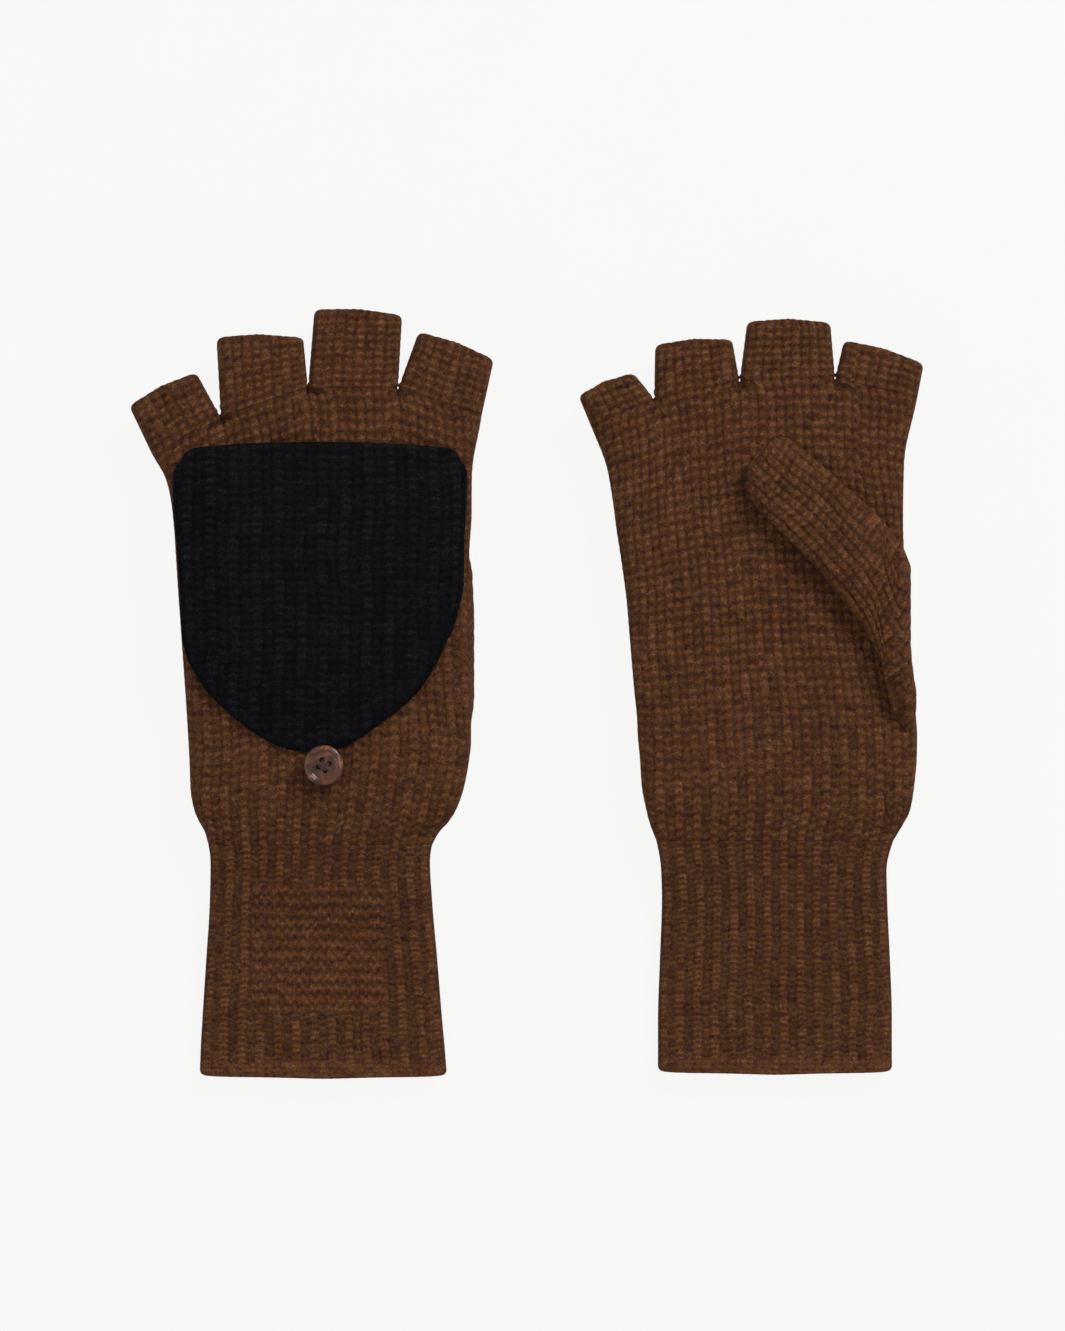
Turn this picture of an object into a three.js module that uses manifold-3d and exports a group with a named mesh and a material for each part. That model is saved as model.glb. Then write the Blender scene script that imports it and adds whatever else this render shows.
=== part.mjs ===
// Convertible flip-top mittens: a pair of half-finger gloves lying flat, each with a fold-back mitten
// flap, a folded thumb and a button.
// Millimetres. +X across the pair, +Y from the cuffs to the fingertips, +Z up. They rest on z = 0.
import * as THREE from 'three';
import { mergeVertices } from 'three/addons/utils/BufferGeometryUtils.js';
import Module from 'manifold-3d';

const WALL = 1.4;                 // knitted wall, pressed flat
const HAND_THICK = 8.0;           // hand, cuff and fingers, both walls and the gap between them
const THUMB_THICK = 7.6;
const FLAP_THICK = 7.4;
const PANEL_THICK = 1.2;          // one panel of the flap
const GAP = 0.3;                  // between one piece and the next
const CUFF_TOP = 72;              // height of the wrist line above the cuff's edge
const DROOP_START = 40;           // the cuff lies on the table up to here
const DROOP_END = 90;             // the hand is level from here on
const CAP_STEPS = 4;              // facets round each side edge
const EDGE_SEAM_WIDTH = 1.5;
const FLAP_TAPER = 27;            // length over which the flap thins towards its tip
const FLAP_LEAN_LENGTH = 83;      // length over which the flap comes to lean with the hand
const HINGE_Y = 196.9;            // flap hinge, above the cuff's edge
const HINGE_SEAM_WIDTH = 1.0;
const HINGE_SEAM_HEIGHT = 1.7;
const BUTTON_RADIUS = 6.25;
const BUTTON_LIFT = 2.4;          // underside of the button above the knit
const BUTTON_THICK = 2.6;
const BUTTON_DISH = 1.9;          // thickness in the dished middle
const BUTTON_HOLE_RADIUS = 0.7;
const BUTTON_HOLE_OFFSET = 2.0;   // from the middle of the button
const BUTTON_TURN = 68;           // degrees, first hole from +X
const BUTTON_X = 0.3;
const BUTTON_Y = 96.7;
const SHANK_RADIUS = 2.3;
const THREAD_RADIUS = 0.3;
const LOOP_CORD_RADIUS = 0.6;

const BROWN = { color: 0x4a301f, roughness: 0.95 };
const BLACK = { color: 0x121113, roughness: 0.95 };
const SHELL = { color: 0x6b4f43, roughness: 0.3 };
const THREAD = { color: 0x1c1614, roughness: 0.8 };

// Height of the hand's middle plane when the thumb (left) or the flap (right) lies beneath it
const LEFT_MIDDLE = THUMB_THICK + GAP + HAND_THICK / 2;
const RIGHT_MIDDLE = FLAP_THICK + GAP + HAND_THICK / 2;

// One entry per glove. outline: [y, left edge, right edge] from the cuff's edge upwards.
// crotches: the far end of the hand, from its little-finger edge to its index-finger edge.
// flapLean and flapWidth: how far the flap's mouth lies to one side, and its share of the full width.
const GLOVES = [
  {
    name: 'left', x: -63.25, y: -119.05, middle: LEFT_MIDDLE, back: 1,
    outline: [
      [0, -38.3, 38.3], [18, -37.7, 36.8], [36, -36.7, 35.3], [50, -35.8, 34.0], [60, -35.3, 33.3],
      [66, -35.2, 33.0], [72, -36.0, 34.2], [78, -38.6, 38.6], [84, -40.3, 41.5], [90, -41.4, 43.2],
      [98, -41.9, 44.3], [110, -42.3, 45.0], [120, -42.9, 45.2], [135, -44.0, 45.2], [148, -45.1, 45.0],
      [160, -46.0, 45.0], [176, -47.0, 46.2],
    ],
    shoulder: [[-48.9, 185], [46.3, 191]],
    crotches: [[-53.2, 193.1], [-31.8, 204.3], [-4.8, 213.6], [23.1, 213.3], [49.1, 205.2]],
    tips: [
      [[-59.7, 208.2], [-38.0, 217.0]], [[-33.2, 229.4], [-6.3, 229.4]],
      [[-2.8, 238.1], [24.4, 236.3]], [[29.6, 231.2], [52.9, 222.6]],
    ],
    fold: [[46.3, 107], [46.3, 163]],
    flapLean: 0,
    flapWidth: 1,
  },
  {
    name: 'right', x: 76.95, y: -117.81, middle: RIGHT_MIDDLE, back: -1,
    outline: [
      [0, -36.4, 36.4], [16, -36.4, 36.4], [35, -35.8, 35.8], [50, -35.3, 35.0], [60, -35.4, 34.6],
      [66, -35.8, 35.0], [72, -37.0, 36.6], [78, -39.2, 39.9], [84, -40.7, 42.1], [90, -41.7, 43.1],
      [100, -42.3, 43.3], [110, -42.9, 43.2], [120, -43.9, 42.4], [130, -44.6, 41.4], [146, -46.0, 40.9],
      [158, -47.7, 40.3], [170, -49.5, 39.3],
    ],
    shoulder: [[-52.4, 187], [40.1, 191]],
    crotches: [[-57.2, 200.3], [-37.7, 209.2], [-11.2, 214.2], [18.4, 215.1], [43.9, 209.2]],
    tips: [
      [[-60.9, 209.6], [-42.0, 216.1]], [[-37.4, 225.4], [-13.6, 227.0]],
      [[-8.8, 233.1], [16.9, 232.8]], [[21.2, 227.3], [46.0, 220.0]],
    ],
    fold: [[44.9, 107], [42.6, 163]],
    flapLean: -3.9,
    flapWidth: 0.98,
  },
];
const FINGERS = ['little', 'ring', 'middle', 'index'];

// Flap outline: [y, left edge, right edge] from its mouth at the knuckles down to its tip
const FLAP_ROWS = [
  [195.3, -43.6, 41.2], [191.5, -46.1, 43.7], [178, -46.1, 43.9], [165, -45.3, 43.9], [151, -44.5, 43.4],
  [141, -43.9, 40.4], [132, -42.0, 36.6], [124, -38.8, 32.2], [116, -32.4, 26.4], [109.5, -25.0, 17.6],
  [105.4, -17.0, 9.8], [103.5, -9.4, 3.6],
];

// Thumb, folded over the palm: [upper edge, lower edge] pairs from its fold to its rounded tip,
// with x counted from the fold line
const THUMB_ROWS = [
  [[-0.3, 162.6], [-0.3, 108.4]], [[-1.4, 163.6], [-5.6, 117]], [[-3.4, 165.6], [-10.8, 133.6]],
  [[-6.9, 170.0], [-18.6, 147.6]], [[-11.4, 175.6], [-27.8, 156.8]], [[-21.4, 184.8], [-38.4, 166]],
  [[-31, 193.6], [-48.6, 174.8]], [[-36.4, 197.2], [-50.6, 181.6]], [[-41.8, 196.6], [-49.8, 187.6]],
];
const THUMB_HOLE = [112, 158];    // stretch of the hand's side edge left open for the thumb

function smooth(t) {
  const c = Math.min(1, Math.max(0, t));
  return c * c * (3 - 2 * c);
}

function mix(a, b, t) {
  return a + (b - a) * t;
}

// A closed body from point lists and triangles, turned outward if it came out inside out
function body(name, points, triangles, look) {
  let volume = 0;
  const cross = new THREE.Vector3();
  for (const [a, b, c] of triangles) {
    volume += points[a].dot(cross.crossVectors(points[b], points[c]));
  }
  const faces = volume < 0 ? triangles.map(([a, b, c]) => [a, c, b]) : triangles;
  const geometry = new THREE.BufferGeometry();
  geometry.setAttribute('position', new THREE.Float32BufferAttribute(points.flatMap((p) => p.toArray()), 3));
  geometry.setIndex(faces.flat());
  return mesh(name, geometry, look);
}

function mesh(name, geometry, look) {
  geometry.computeVertexNormals();
  const material = new THREE.MeshStandardMaterial({ ...look, metalness: 0 });
  const made = new THREE.Mesh(geometry, material);
  made.name = name;
  return made;
}

// A sheet with thickness: a grid of outer points and a grid of inner points, walled wherever it ends.
// round: the columns close on themselves. closedEnd: the last row is filled in. isOpen: cells left out.
function sheet(name, outer, inner, look, { round = false, closedEnd = false, isOpen = () => false } = {}) {
  const rows = outer.length;
  const columns = outer[0].length;
  const points = [...outer.flat(), ...inner.flat()];
  const offset = rows * columns;
  const cellColumns = round ? columns : columns - 1;
  const triangles = [];
  const at = (row, column) => row * columns + (column % columns);
  const quad = (a, b, c, d) => triangles.push([a, b, c], [a, c, d]);
  const missing = (row, column) => {
    const wrapped = round ? (column + columns) % columns : column;
    if (wrapped < 0 || wrapped >= cellColumns || row < 0) return true;
    if (row >= rows - 1) return !closedEnd;
    return isOpen(row, wrapped);
  };
  for (let row = 0; row < rows - 1; row += 1) {
    for (let column = 0; column < cellColumns; column += 1) {
      if (missing(row, column)) continue;
      const a = at(row, column);
      const b = at(row, column + 1);
      const c = at(row + 1, column + 1);
      const d = at(row + 1, column);
      quad(a, b, c, d);
      quad(d + offset, c + offset, b + offset, a + offset);
      const sides = [
        [row - 1, column, a, b], [row, column + 1, b, c], [row + 1, column, c, d], [row, column - 1, d, a],
      ];
      for (const [nextRow, nextColumn, from, to] of sides) {
        if (missing(nextRow, nextColumn)) quad(to, from, from + offset, to + offset);
      }
    }
  }
  if (closedEnd) {
    const first = at(rows - 1, 0);
    for (let column = 1; column < columns - 1; column += 1) {
      const b = at(rows - 1, column);
      const c = at(rows - 1, column + 1);
      triangles.push([first, b, c], [first + offset, c + offset, b + offset]);
    }
  }
  return body(name, points, triangles, look);
}

// A solid bar through a list of four-cornered sections, filled in at both ends
function bar(name, sections, look) {
  const points = sections.flat();
  const triangles = [];
  for (let row = 0; row < sections.length - 1; row += 1) {
    for (let corner = 0; corner < 4; corner += 1) {
      const a = row * 4 + corner;
      const b = row * 4 + ((corner + 1) % 4);
      triangles.push([a, b, b + 4], [a, b + 4, a + 4]);
    }
  }
  const last = (sections.length - 1) * 4;
  triangles.push([0, 2, 1], [0, 3, 2], [last, last + 1, last + 2], [last, last + 2, last + 3]);
  return body(name, points, triangles, look);
}

// One flattened ring of a tube between two edge points: round sides and flat faces.
// stops: [fraction across the flat, shift along y] of the points on each flat face.
function ring(left, right, height, half, inset, stops = []) {
  const along = new THREE.Vector2(right[0] - left[0], right[1] - left[1]).normalize();
  const radius = half - inset;
  const from = new THREE.Vector2(left[0], left[1]).addScaledVector(along, half);
  const to = new THREE.Vector2(right[0], right[1]).addScaledVector(along, -half);
  const points = [];
  const cap = (centre, start) => {
    for (let step = 0; step <= CAP_STEPS; step += 1) {
      const angle = start + (Math.PI * step) / CAP_STEPS;
      const reach = radius * Math.cos(angle);
      const rise = radius * Math.sin(angle);
      points.push(new THREE.Vector3(centre.x + along.x * reach, centre.y + along.y * reach, height + rise));
    }
  };
  const flat = (list, rise) => {
    for (const [fraction, shift] of list) {
      points.push(new THREE.Vector3(mix(from.x, to.x, fraction), mix(from.y, to.y, fraction) + shift, height + rise));
    }
  };
  cap(to, -Math.PI / 2);
  flat([...stops].reverse(), radius);
  cap(from, Math.PI / 2);
  flat(stops, -radius);
  return points;
}

function tube(name, rings, look, options) {
  const build = (inset) => rings.map((r) => ring(r.left, r.right, r.height, r.half, inset, r.stops));
  return sheet(name, build(0), build(WALL), look, { round: true, ...options });
}

function place(glove, [x, y]) {
  return [glove.x + x, glove.y + y];
}

// Height of the middle of the hand or cuff: on the table at the cuff, level over the palm
function middleHeight(glove, y) {
  return mix(HAND_THICK / 2, glove.middle, smooth((y - DROOP_START) / (DROOP_END - DROOP_START)));
}

// Height of a point counted from the hand's middle plane towards the back of the hand
function level(glove, rise) {
  return glove.middle + glove.back * rise;
}

function edgeRing(glove, [y, left, right], stops) {
  return {
    left: place(glove, [left, y]), right: place(glove, [right, y]),
    height: middleHeight(glove, y), half: HAND_THICK / 2, stops,
  };
}

function crotchStops(glove, amount) {
  const [start, ...rest] = glove.crotches;
  const end = rest.pop();
  return rest.map(([x, y]) => {
    const fraction = (x - start[0] - HAND_THICK / 2) / (end[0] - start[0] - HAND_THICK);
    return [fraction, amount * (y - mix(start[1], end[1], fraction))];
  });
}

function makeCuff(glove) {
  const rows = glove.outline.filter(([y]) => y < CUFF_TOP);
  const top = glove.outline.find(([y]) => y === CUFF_TOP);
  rows.push([CUFF_TOP - GAP / 2, top[1], top[2]]);
  return tube(`${glove.name}_rib_cuff`, rows.map((row) => edgeRing(glove, row, crotchStops(glove, 0))), BROWN);
}

function makeHand(glove) {
  const rows = glove.outline.filter(([y]) => y > CUFF_TOP);
  const start = glove.outline.find(([y]) => y === CUFF_TOP);
  rows.unshift([CUFF_TOP + GAP / 2, start[1], start[2]]);
  const rings = rows.map((row) => edgeRing(glove, row, crotchStops(glove, 0)));
  const flat = { height: glove.middle, half: HAND_THICK / 2 };
  const [left, right] = glove.shoulder;
  rings.push({ left: place(glove, left), right: place(glove, right), stops: crotchStops(glove, 0.5), ...flat });
  rings.push({
    left: place(glove, glove.crotches[0]), right: place(glove, glove.crotches[4]),
    stops: crotchStops(glove, 1), ...flat,
  });
  const isOpen = (row, column) => {
    const [low, high] = [rows[row], rows[row + 1]];
    return Boolean(low && high && column < CAP_STEPS && low[0] >= THUMB_HOLE[0] - 2 && high[0] <= THUMB_HOLE[1] + 2);
  };
  return tube(`${glove.name}_hand_body`, rings, BROWN, { isOpen });
}

function makeFinger(glove, index) {
  const [tipLeft, tipRight] = glove.tips[index];
  const baseLeft = new THREE.Vector2(...glove.crotches[index]);
  const baseRight = new THREE.Vector2(...glove.crotches[index + 1]);
  const along = baseRight.clone().sub(baseLeft).normalize();
  const out = new THREE.Vector2(-along.y, along.x).multiplyScalar(GAP);
  const inLeft = index === 0 ? 0 : GAP;
  const inRight = index === FINGERS.length - 1 ? 0 : GAP;
  const left = baseLeft.addScaledVector(along, inLeft).add(out).toArray();
  const right = baseRight.addScaledVector(along, -inRight).add(out).toArray();
  const rings = [0, 0.5, 1].map((t) => ({
    left: place(glove, [mix(left[0], tipLeft[0], t), mix(left[1], tipLeft[1], t)]),
    right: place(glove, [mix(right[0], tipRight[0], t), mix(right[1], tipRight[1], t)]),
    height: glove.middle, half: HAND_THICK / 2,
  }));
  return tube(`${glove.name}_${FINGERS[index]}_finger`, rings, BROWN);
}

function makeThumb(glove) {
  const [foldLow, foldHigh] = glove.fold;
  const rise = -(HAND_THICK / 2 + GAP + THUMB_THICK / 2);
  const at = ([x, y]) => {
    const fold = mix(foldLow[0], foldHigh[0], (y - foldLow[1]) / (foldHigh[1] - foldLow[1]));
    return place(glove, [Math.max(Math.min(fold, foldLow[0]), foldHigh[0]) + x, y]);
  };
  const rings = THUMB_ROWS.map(([upper, lower]) => ({
    left: at(lower), right: at(upper), height: level(glove, rise), half: THUMB_THICK / 2,
  }));
  return tube(`${glove.name}_thumb`, rings, BROWN, { closedEnd: true });
}

// Rise of the flap's outer face above the hand's middle plane: it thins towards the tip
function flapTop(y) {
  const tip = FLAP_ROWS[FLAP_ROWS.length - 1][0];
  const base = HAND_THICK / 2 + GAP;
  return mix(base + 2 * PANEL_THICK + GAP, base + FLAP_THICK, smooth((y - tip) / FLAP_TAPER));
}

// A point of the flap's outline, leaning with the hand that it lies on
function flapPoint(glove, x, y) {
  return new THREE.Vector2(x * glove.flapWidth + glove.flapLean * smooth((y - BUTTON_Y) / FLAP_LEAN_LENGTH), y);
}

// The flap's edge from its mouth round the tip and back, moved inwards by a distance
function flapEdge(glove, inset) {
  const path = [
    ...FLAP_ROWS.map(([y, left]) => flapPoint(glove, left, y)),
    ...[...FLAP_ROWS].reverse().map(([y, , right]) => flapPoint(glove, right, y)),
  ];
  return path.map((point, i) => {
    const before = path[Math.max(0, i - 1)];
    const after = path[Math.min(path.length - 1, i + 1)];
    const atMouth = i === 0 || i === path.length - 1;
    const along = after.clone().sub(before).normalize();
    const inward = atMouth ? new THREE.Vector2(i === 0 ? 1 : -1, 0) : new THREE.Vector2(-along.y, along.x);
    return point.clone().addScaledVector(inward, inset);
  });
}

function makeFlapPanel(glove, name, top, thickness) {
  const edge = flapEdge(glove, EDGE_SEAM_WIDTH + GAP);
  const columns = 6;
  const grid = (drop) => FLAP_ROWS.map((row, i) => {
    const left = edge[i];
    const right = edge[edge.length - 1 - i];
    return Array.from({ length: columns + 1 }, (unused, column) => {
      const point = left.clone().lerp(right, column / columns);
      const [x, y] = place(glove, point.toArray());
      return new THREE.Vector3(x, y, level(glove, top(point.y) - drop));
    });
  });
  return sheet(name, grid(0), grid(thickness), BLACK);
}

function makeFlapEdgeSeam(glove) {
  const outer = flapEdge(glove, 0);
  const inner = flapEdge(glove, EDGE_SEAM_WIDTH);
  const low = HAND_THICK / 2 + GAP;
  const sections = outer.map((point, i) => {
    const high = flapTop(point.y);
    const corners = [[point, low], [inner[i], low], [inner[i], high], [point, high]];
    return corners.map(([corner, rise]) => {
      const [x, y] = place(glove, corner.toArray());
      return new THREE.Vector3(x, y, level(glove, rise));
    });
  });
  return bar(`${glove.name}_flap_edge_seam`, sections, BLACK);
}

function makeHingeSeam(glove) {
  const low = HAND_THICK / 2 + GAP;
  const half = HINGE_SEAM_WIDTH / 2;
  const [, left, right] = FLAP_ROWS[0];
  const sections = [left, right].map((edge) => {
    const { x } = flapPoint(glove, edge, HINGE_Y);
    const corners = [[-half, low], [half, low], [half, low + HINGE_SEAM_HEIGHT], [-half, low + HINGE_SEAM_HEIGHT]];
    return corners.map(([y, rise]) => {
      const [placedX, placedY] = place(glove, [x, HINGE_Y + y]);
      return new THREE.Vector3(placedX, placedY, level(glove, rise));
    });
  });
  return bar(`${glove.name}_flap_hinge_seam`, sections, BROWN);
}

const { Manifold, Mesh: ManifoldMesh } = await Module().then((module) => {
  module.setup();
  return module;
});

function toManifold(geometry) {
  const plain = geometry.clone();
  plain.deleteAttribute('uv');
  plain.deleteAttribute('normal');
  const merged = mergeVertices(plain, 1e-4);
  return new Manifold(new ManifoldMesh({
    numProp: 3,
    vertProperties: new Float32Array(merged.attributes.position.array),
    triVerts: new Uint32Array(merged.index.array),
  }));
}

function fromManifold(solid) {
  const data = solid.getMesh();
  const geometry = new THREE.BufferGeometry();
  geometry.setAttribute('position', new THREE.Float32BufferAttribute(data.vertProperties, 3));
  geometry.setIndex(Array.from(data.triVerts));
  return geometry;
}

// A turned body about +Z from [radius, height] points that start and end on the axis
function turned(profile, steps) {
  const points = profile.map(([radius, height]) => new THREE.Vector2(radius, height));
  return new THREE.LatheGeometry(points, steps).rotateX(Math.PI / 2);
}

function post(x, y, radius, low, high, steps) {
  return turned([[0, low], [radius, low], [radius, high], [0, high]], steps).translate(x, y, 0);
}

// Moves a body built on z = 0, facing up, to the back of the hand at the button
function toButton(glove, geometry) {
  if (glove.back < 0) geometry.rotateY(Math.PI);
  const [x, y] = place(glove, [BUTTON_X, BUTTON_Y]);
  return geometry.translate(x, y, level(glove, HAND_THICK / 2));
}

const HOLES = [0, 1, 2, 3].map((quarter) => {
  const angle = THREE.MathUtils.degToRad(BUTTON_TURN + 90 * quarter);
  return [BUTTON_HOLE_OFFSET * Math.cos(angle), BUTTON_HOLE_OFFSET * Math.sin(angle)];
});

function makeButton(glove) {
  const low = BUTTON_LIFT;
  const disc = turned([
    [0, low], [4.6, low], [5.8, low + 0.5], [BUTTON_RADIUS, low + 1.3], [5.95, low + 2.2],
    [5.3, low + BUTTON_THICK], [4.6, low + 2.35], [4.1, low + BUTTON_DISH], [0, low + BUTTON_DISH],
  ], 28);
  let solid = toManifold(disc);
  for (const [x, y] of HOLES) {
    solid = solid.subtract(toManifold(post(x, y, BUTTON_HOLE_RADIUS, low - 1, low + BUTTON_THICK, 10)));
  }
  return mesh(`${glove.name}_button`, toButton(glove, fromManifold(solid)), SHELL);
}

// The sewing thread: a wound shank under the button and two crossed strands over it through the holes
function makeThread(glove) {
  const top = BUTTON_LIFT + BUTTON_DISH + GAP + THREAD_RADIUS;
  let solid = toManifold(post(0, 0, SHANK_RADIUS, GAP, BUTTON_LIFT - GAP, 16));
  for (const [x, y] of HOLES) {
    solid = solid.add(toManifold(post(x, y, THREAD_RADIUS, BUTTON_LIFT - 2 * GAP, top, 8)));
  }
  for (const [from, to] of [[HOLES[0], HOLES[2]], [HOLES[1], HOLES[3]]]) {
    const length = Math.hypot(to[0] - from[0], to[1] - from[1]);
    const strand = post(0, 0, THREAD_RADIUS, -THREAD_RADIUS, length + THREAD_RADIUS, 8);
    strand.rotateY(Math.PI / 2).rotateZ(Math.atan2(to[1] - from[1], to[0] - from[0]));
    solid = solid.add(toManifold(strand.translate(from[0], from[1], top)));
  }
  return mesh(`${glove.name}_button_thread`, toButton(glove, fromManifold(solid)), THREAD);
}

// The elastic loop at the flap's tip, passed round the button's shank
function makeLoop(glove) {
  const reach = SHANK_RADIUS + GAP + LOOP_CORD_RADIUS;
  const tip = FLAP_ROWS[FLAP_ROWS.length - 1][0] - BUTTON_Y - GAP;
  const rise = GAP + LOOP_CORD_RADIUS;
  const path = [];
  for (const y of [tip, tip / 2]) path.push(new THREE.Vector3(-reach, y, rise));
  for (let step = 0; step <= 8; step += 1) {
    const angle = Math.PI + (Math.PI * step) / 8;
    path.push(new THREE.Vector3(reach * Math.cos(angle), reach * Math.sin(angle), rise));
  }
  for (const y of [tip / 2, tip]) path.push(new THREE.Vector3(reach, y, rise));
  const round = new THREE.Shape();
  round.absarc(0, 0, LOOP_CORD_RADIUS, 0, 2 * Math.PI);
  const curve = new THREE.CatmullRomCurve3(path);
  const cord = new THREE.ExtrudeGeometry(round, { steps: 24, curveSegments: 4, extrudePath: curve });
  return mesh(`${glove.name}_button_loop`, toButton(glove, fromManifold(toManifold(cord))), BLACK);
}

const pair = new THREE.Group();
pair.name = 'convertible_flip_top_mittens';
for (const glove of GLOVES) {
  const low = HAND_THICK / 2 + GAP;
  pair.add(makeCuff(glove));
  pair.add(makeHand(glove));
  FINGERS.forEach((unused, index) => pair.add(makeFinger(glove, index)));
  pair.add(makeThumb(glove));
  pair.add(makeFlapPanel(glove, `${glove.name}_flap_back_panel`, () => low + PANEL_THICK, PANEL_THICK));
  pair.add(makeFlapPanel(glove, `${glove.name}_flap_front_panel`, flapTop, PANEL_THICK));
  pair.add(makeFlapEdgeSeam(glove));
  pair.add(makeHingeSeam(glove));
  pair.add(makeButton(glove));
  pair.add(makeThread(glove));
  pair.add(makeLoop(glove));
}

export default pair;
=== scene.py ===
import math

import bpy
import numpy as np
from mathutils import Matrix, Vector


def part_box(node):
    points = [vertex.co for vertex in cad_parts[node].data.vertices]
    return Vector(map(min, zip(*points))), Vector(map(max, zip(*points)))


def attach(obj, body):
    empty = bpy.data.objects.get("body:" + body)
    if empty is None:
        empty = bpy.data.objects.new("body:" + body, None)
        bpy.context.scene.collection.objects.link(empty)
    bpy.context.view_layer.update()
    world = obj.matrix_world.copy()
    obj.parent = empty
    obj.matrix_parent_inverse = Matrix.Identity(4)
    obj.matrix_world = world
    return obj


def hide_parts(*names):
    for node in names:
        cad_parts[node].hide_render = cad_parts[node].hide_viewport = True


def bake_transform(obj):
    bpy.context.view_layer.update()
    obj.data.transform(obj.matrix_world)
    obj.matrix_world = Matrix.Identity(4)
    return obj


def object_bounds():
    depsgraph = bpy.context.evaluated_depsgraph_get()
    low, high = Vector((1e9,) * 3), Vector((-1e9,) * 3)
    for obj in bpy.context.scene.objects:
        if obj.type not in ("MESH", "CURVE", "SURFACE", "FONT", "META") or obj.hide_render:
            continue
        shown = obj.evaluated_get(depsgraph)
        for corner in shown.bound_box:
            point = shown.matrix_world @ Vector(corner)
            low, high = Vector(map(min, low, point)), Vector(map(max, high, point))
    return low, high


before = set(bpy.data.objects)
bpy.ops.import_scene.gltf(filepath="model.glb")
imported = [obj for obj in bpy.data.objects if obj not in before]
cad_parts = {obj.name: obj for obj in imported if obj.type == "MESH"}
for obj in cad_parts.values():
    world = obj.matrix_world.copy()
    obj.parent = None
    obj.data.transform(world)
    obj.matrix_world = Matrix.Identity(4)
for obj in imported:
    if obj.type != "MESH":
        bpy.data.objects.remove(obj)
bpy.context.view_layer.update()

# A pair of knitted convertible mittens: fingerless gloves with a button-back mitten flap.
# Lengths are in millimetres in each glove's own frame: x across, y up from the cuff's edge, and
# rise from the middle of the hand towards the back of the hand. MM turns them into metres.
MM = 0.001

# Knitting
CAD_HALF = 4.0              # half the thickness of the CAD model's hand
HALF = 3.75                 # half the thickness of the hand, cuff and fingers, less the stitches
WALL = 1.5                  # knitted wall
STITCH_RISE = 1.0           # from a furrow to the top of a stitch
CUFF_RISE = 0.85
FLAP_RISE = 0.62
FLAP_UNDER_RISE = 0.3
CUFF_PURL = 0.5             # how high the purl columns stand, as a share of the knit ones
HAND_PURL = (0.62, 0.9)     # at the wrist and at the fingers
FLAP_PURL = 0.6
CUFF_EVEN = 0.12            # how far the stitches all stand alike, where the knitting is stretched
HAND_EVEN = (0.12, 0.62)
FLAP_EVEN = 0.35
THUMB_EVEN = 0.55
HAND_COURSE = 2.85          # height of one row of stitches
CUFF_COURSE = 1.77
FINGER_COURSE = 2.45
THUMB_COURSE = 2.6
FLAP_COURSE = 2.6
FLAP_WALE = 6.9             # width of one rib
THUMB_WALE = 5.5
CUFF_RIBS = 14.2            # ribs across one side of the glove
HAND_RIBS = [(0.0, 14.2), (0.12, 15.3), (0.5, 16.2), (0.8, 17.6), (1.0, 19.6)]  # (share of the height, ribs)
HAND_STEP = 0.52            # spacing of the mesh
HAND_ROW_STEP = 0.53
CUFF_STEP = 0.5
CUFF_ROW_STEP = 0.34
FINGER_ROW_STEP = 0.42
THUMB_STEP = 0.45
FLAP_STEP = 0.48
EDGE_STEPS = 7              # mesh columns round each side edge
RIM_STEPS = 6               # mesh rows round a knitted end
HAND_ARCH = 12.0            # the finger roots' rise above the hand's side edges
SIDE_EDGE = 6.0             # how far the hand's side edges round off
FINGER_EDGE = 4.5
LINING_STRIDE = 12          # the lining has one row for this many of the outside
LATTICE = 64                # size of the random lattice behind each soft unevenness
TINY = 1e-9

# Cuff
CUFF_TOP = 72.0
CUFF_REST = 4.0             # the cuff lies on the table, its middle at this height
DROOP = (40.0, 90.0)
CUFF_CORNER = 1.9
CUFF_HEM = (3.0, 5.5)       # the plain hem ends and the ribs are full
HEM_PITCH = 1.6
PANEL_X = (-22.2, 19.1)     # garter-stitch panel on the back of the cuff
PANEL_Y = (20.1, 59.2)
PANEL_SOFT = 0.6            # its stitches change to ribs over this length, each way
PANEL_COURSE = 3.4
PANEL_STITCH = 2.6

# Outlines, one list per glove: (y, left, right)
SIDES = {
    "left": [
        (0.0, -38.7, 38.2), (9.0, -38.4, 37.5), (17.7, -37.9, 36.7), (36.3, -36.7, 35.2),
        (54.9, -35.5, 33.6), (66.7, -35.2, 33.0), (72.0, -35.8, 33.7), (76.0, -36.9, 36.0),
        (79.0, -38.5, 38.7), (82.8, -40.1, 41.1), (89.0, -41.2, 43.4), (98.3, -41.6, 45.2),
        (104.0, -41.9, 45.8), (110.7, -42.3, 45.8), (120.0, -42.9, 45.5), (147.9, -44.9, 45.0),
        (162.0, -45.8, 45.2), (175.8, -46.9, 46.0), (185.1, -48.8, 46.0),
    ],
    "right": [
        (0.0, -36.4, 36.4), (16.4, -36.4, 36.4), (35.0, -35.8, 35.8), (53.6, -35.2, 34.9),
        (62.9, -35.5, 34.6), (72.0, -37.0, 36.6), (76.9, -38.9, 39.5), (81.5, -40.1, 41.7),
        (89.3, -41.6, 43.0), (98.0, -42.2, 43.8), (104.5, -42.8, 43.9), (109.4, -43.0, 43.6),
        (118.7, -43.9, 42.3), (128.0, -44.7, 41.0), (146.6, -46.3, 40.4), (159.0, -47.9, 39.9),
        (170.0, -49.6, 39.5), (179.2, -50.8, 39.6), (188.5, -52.6, 39.8),
    ],
}
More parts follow.
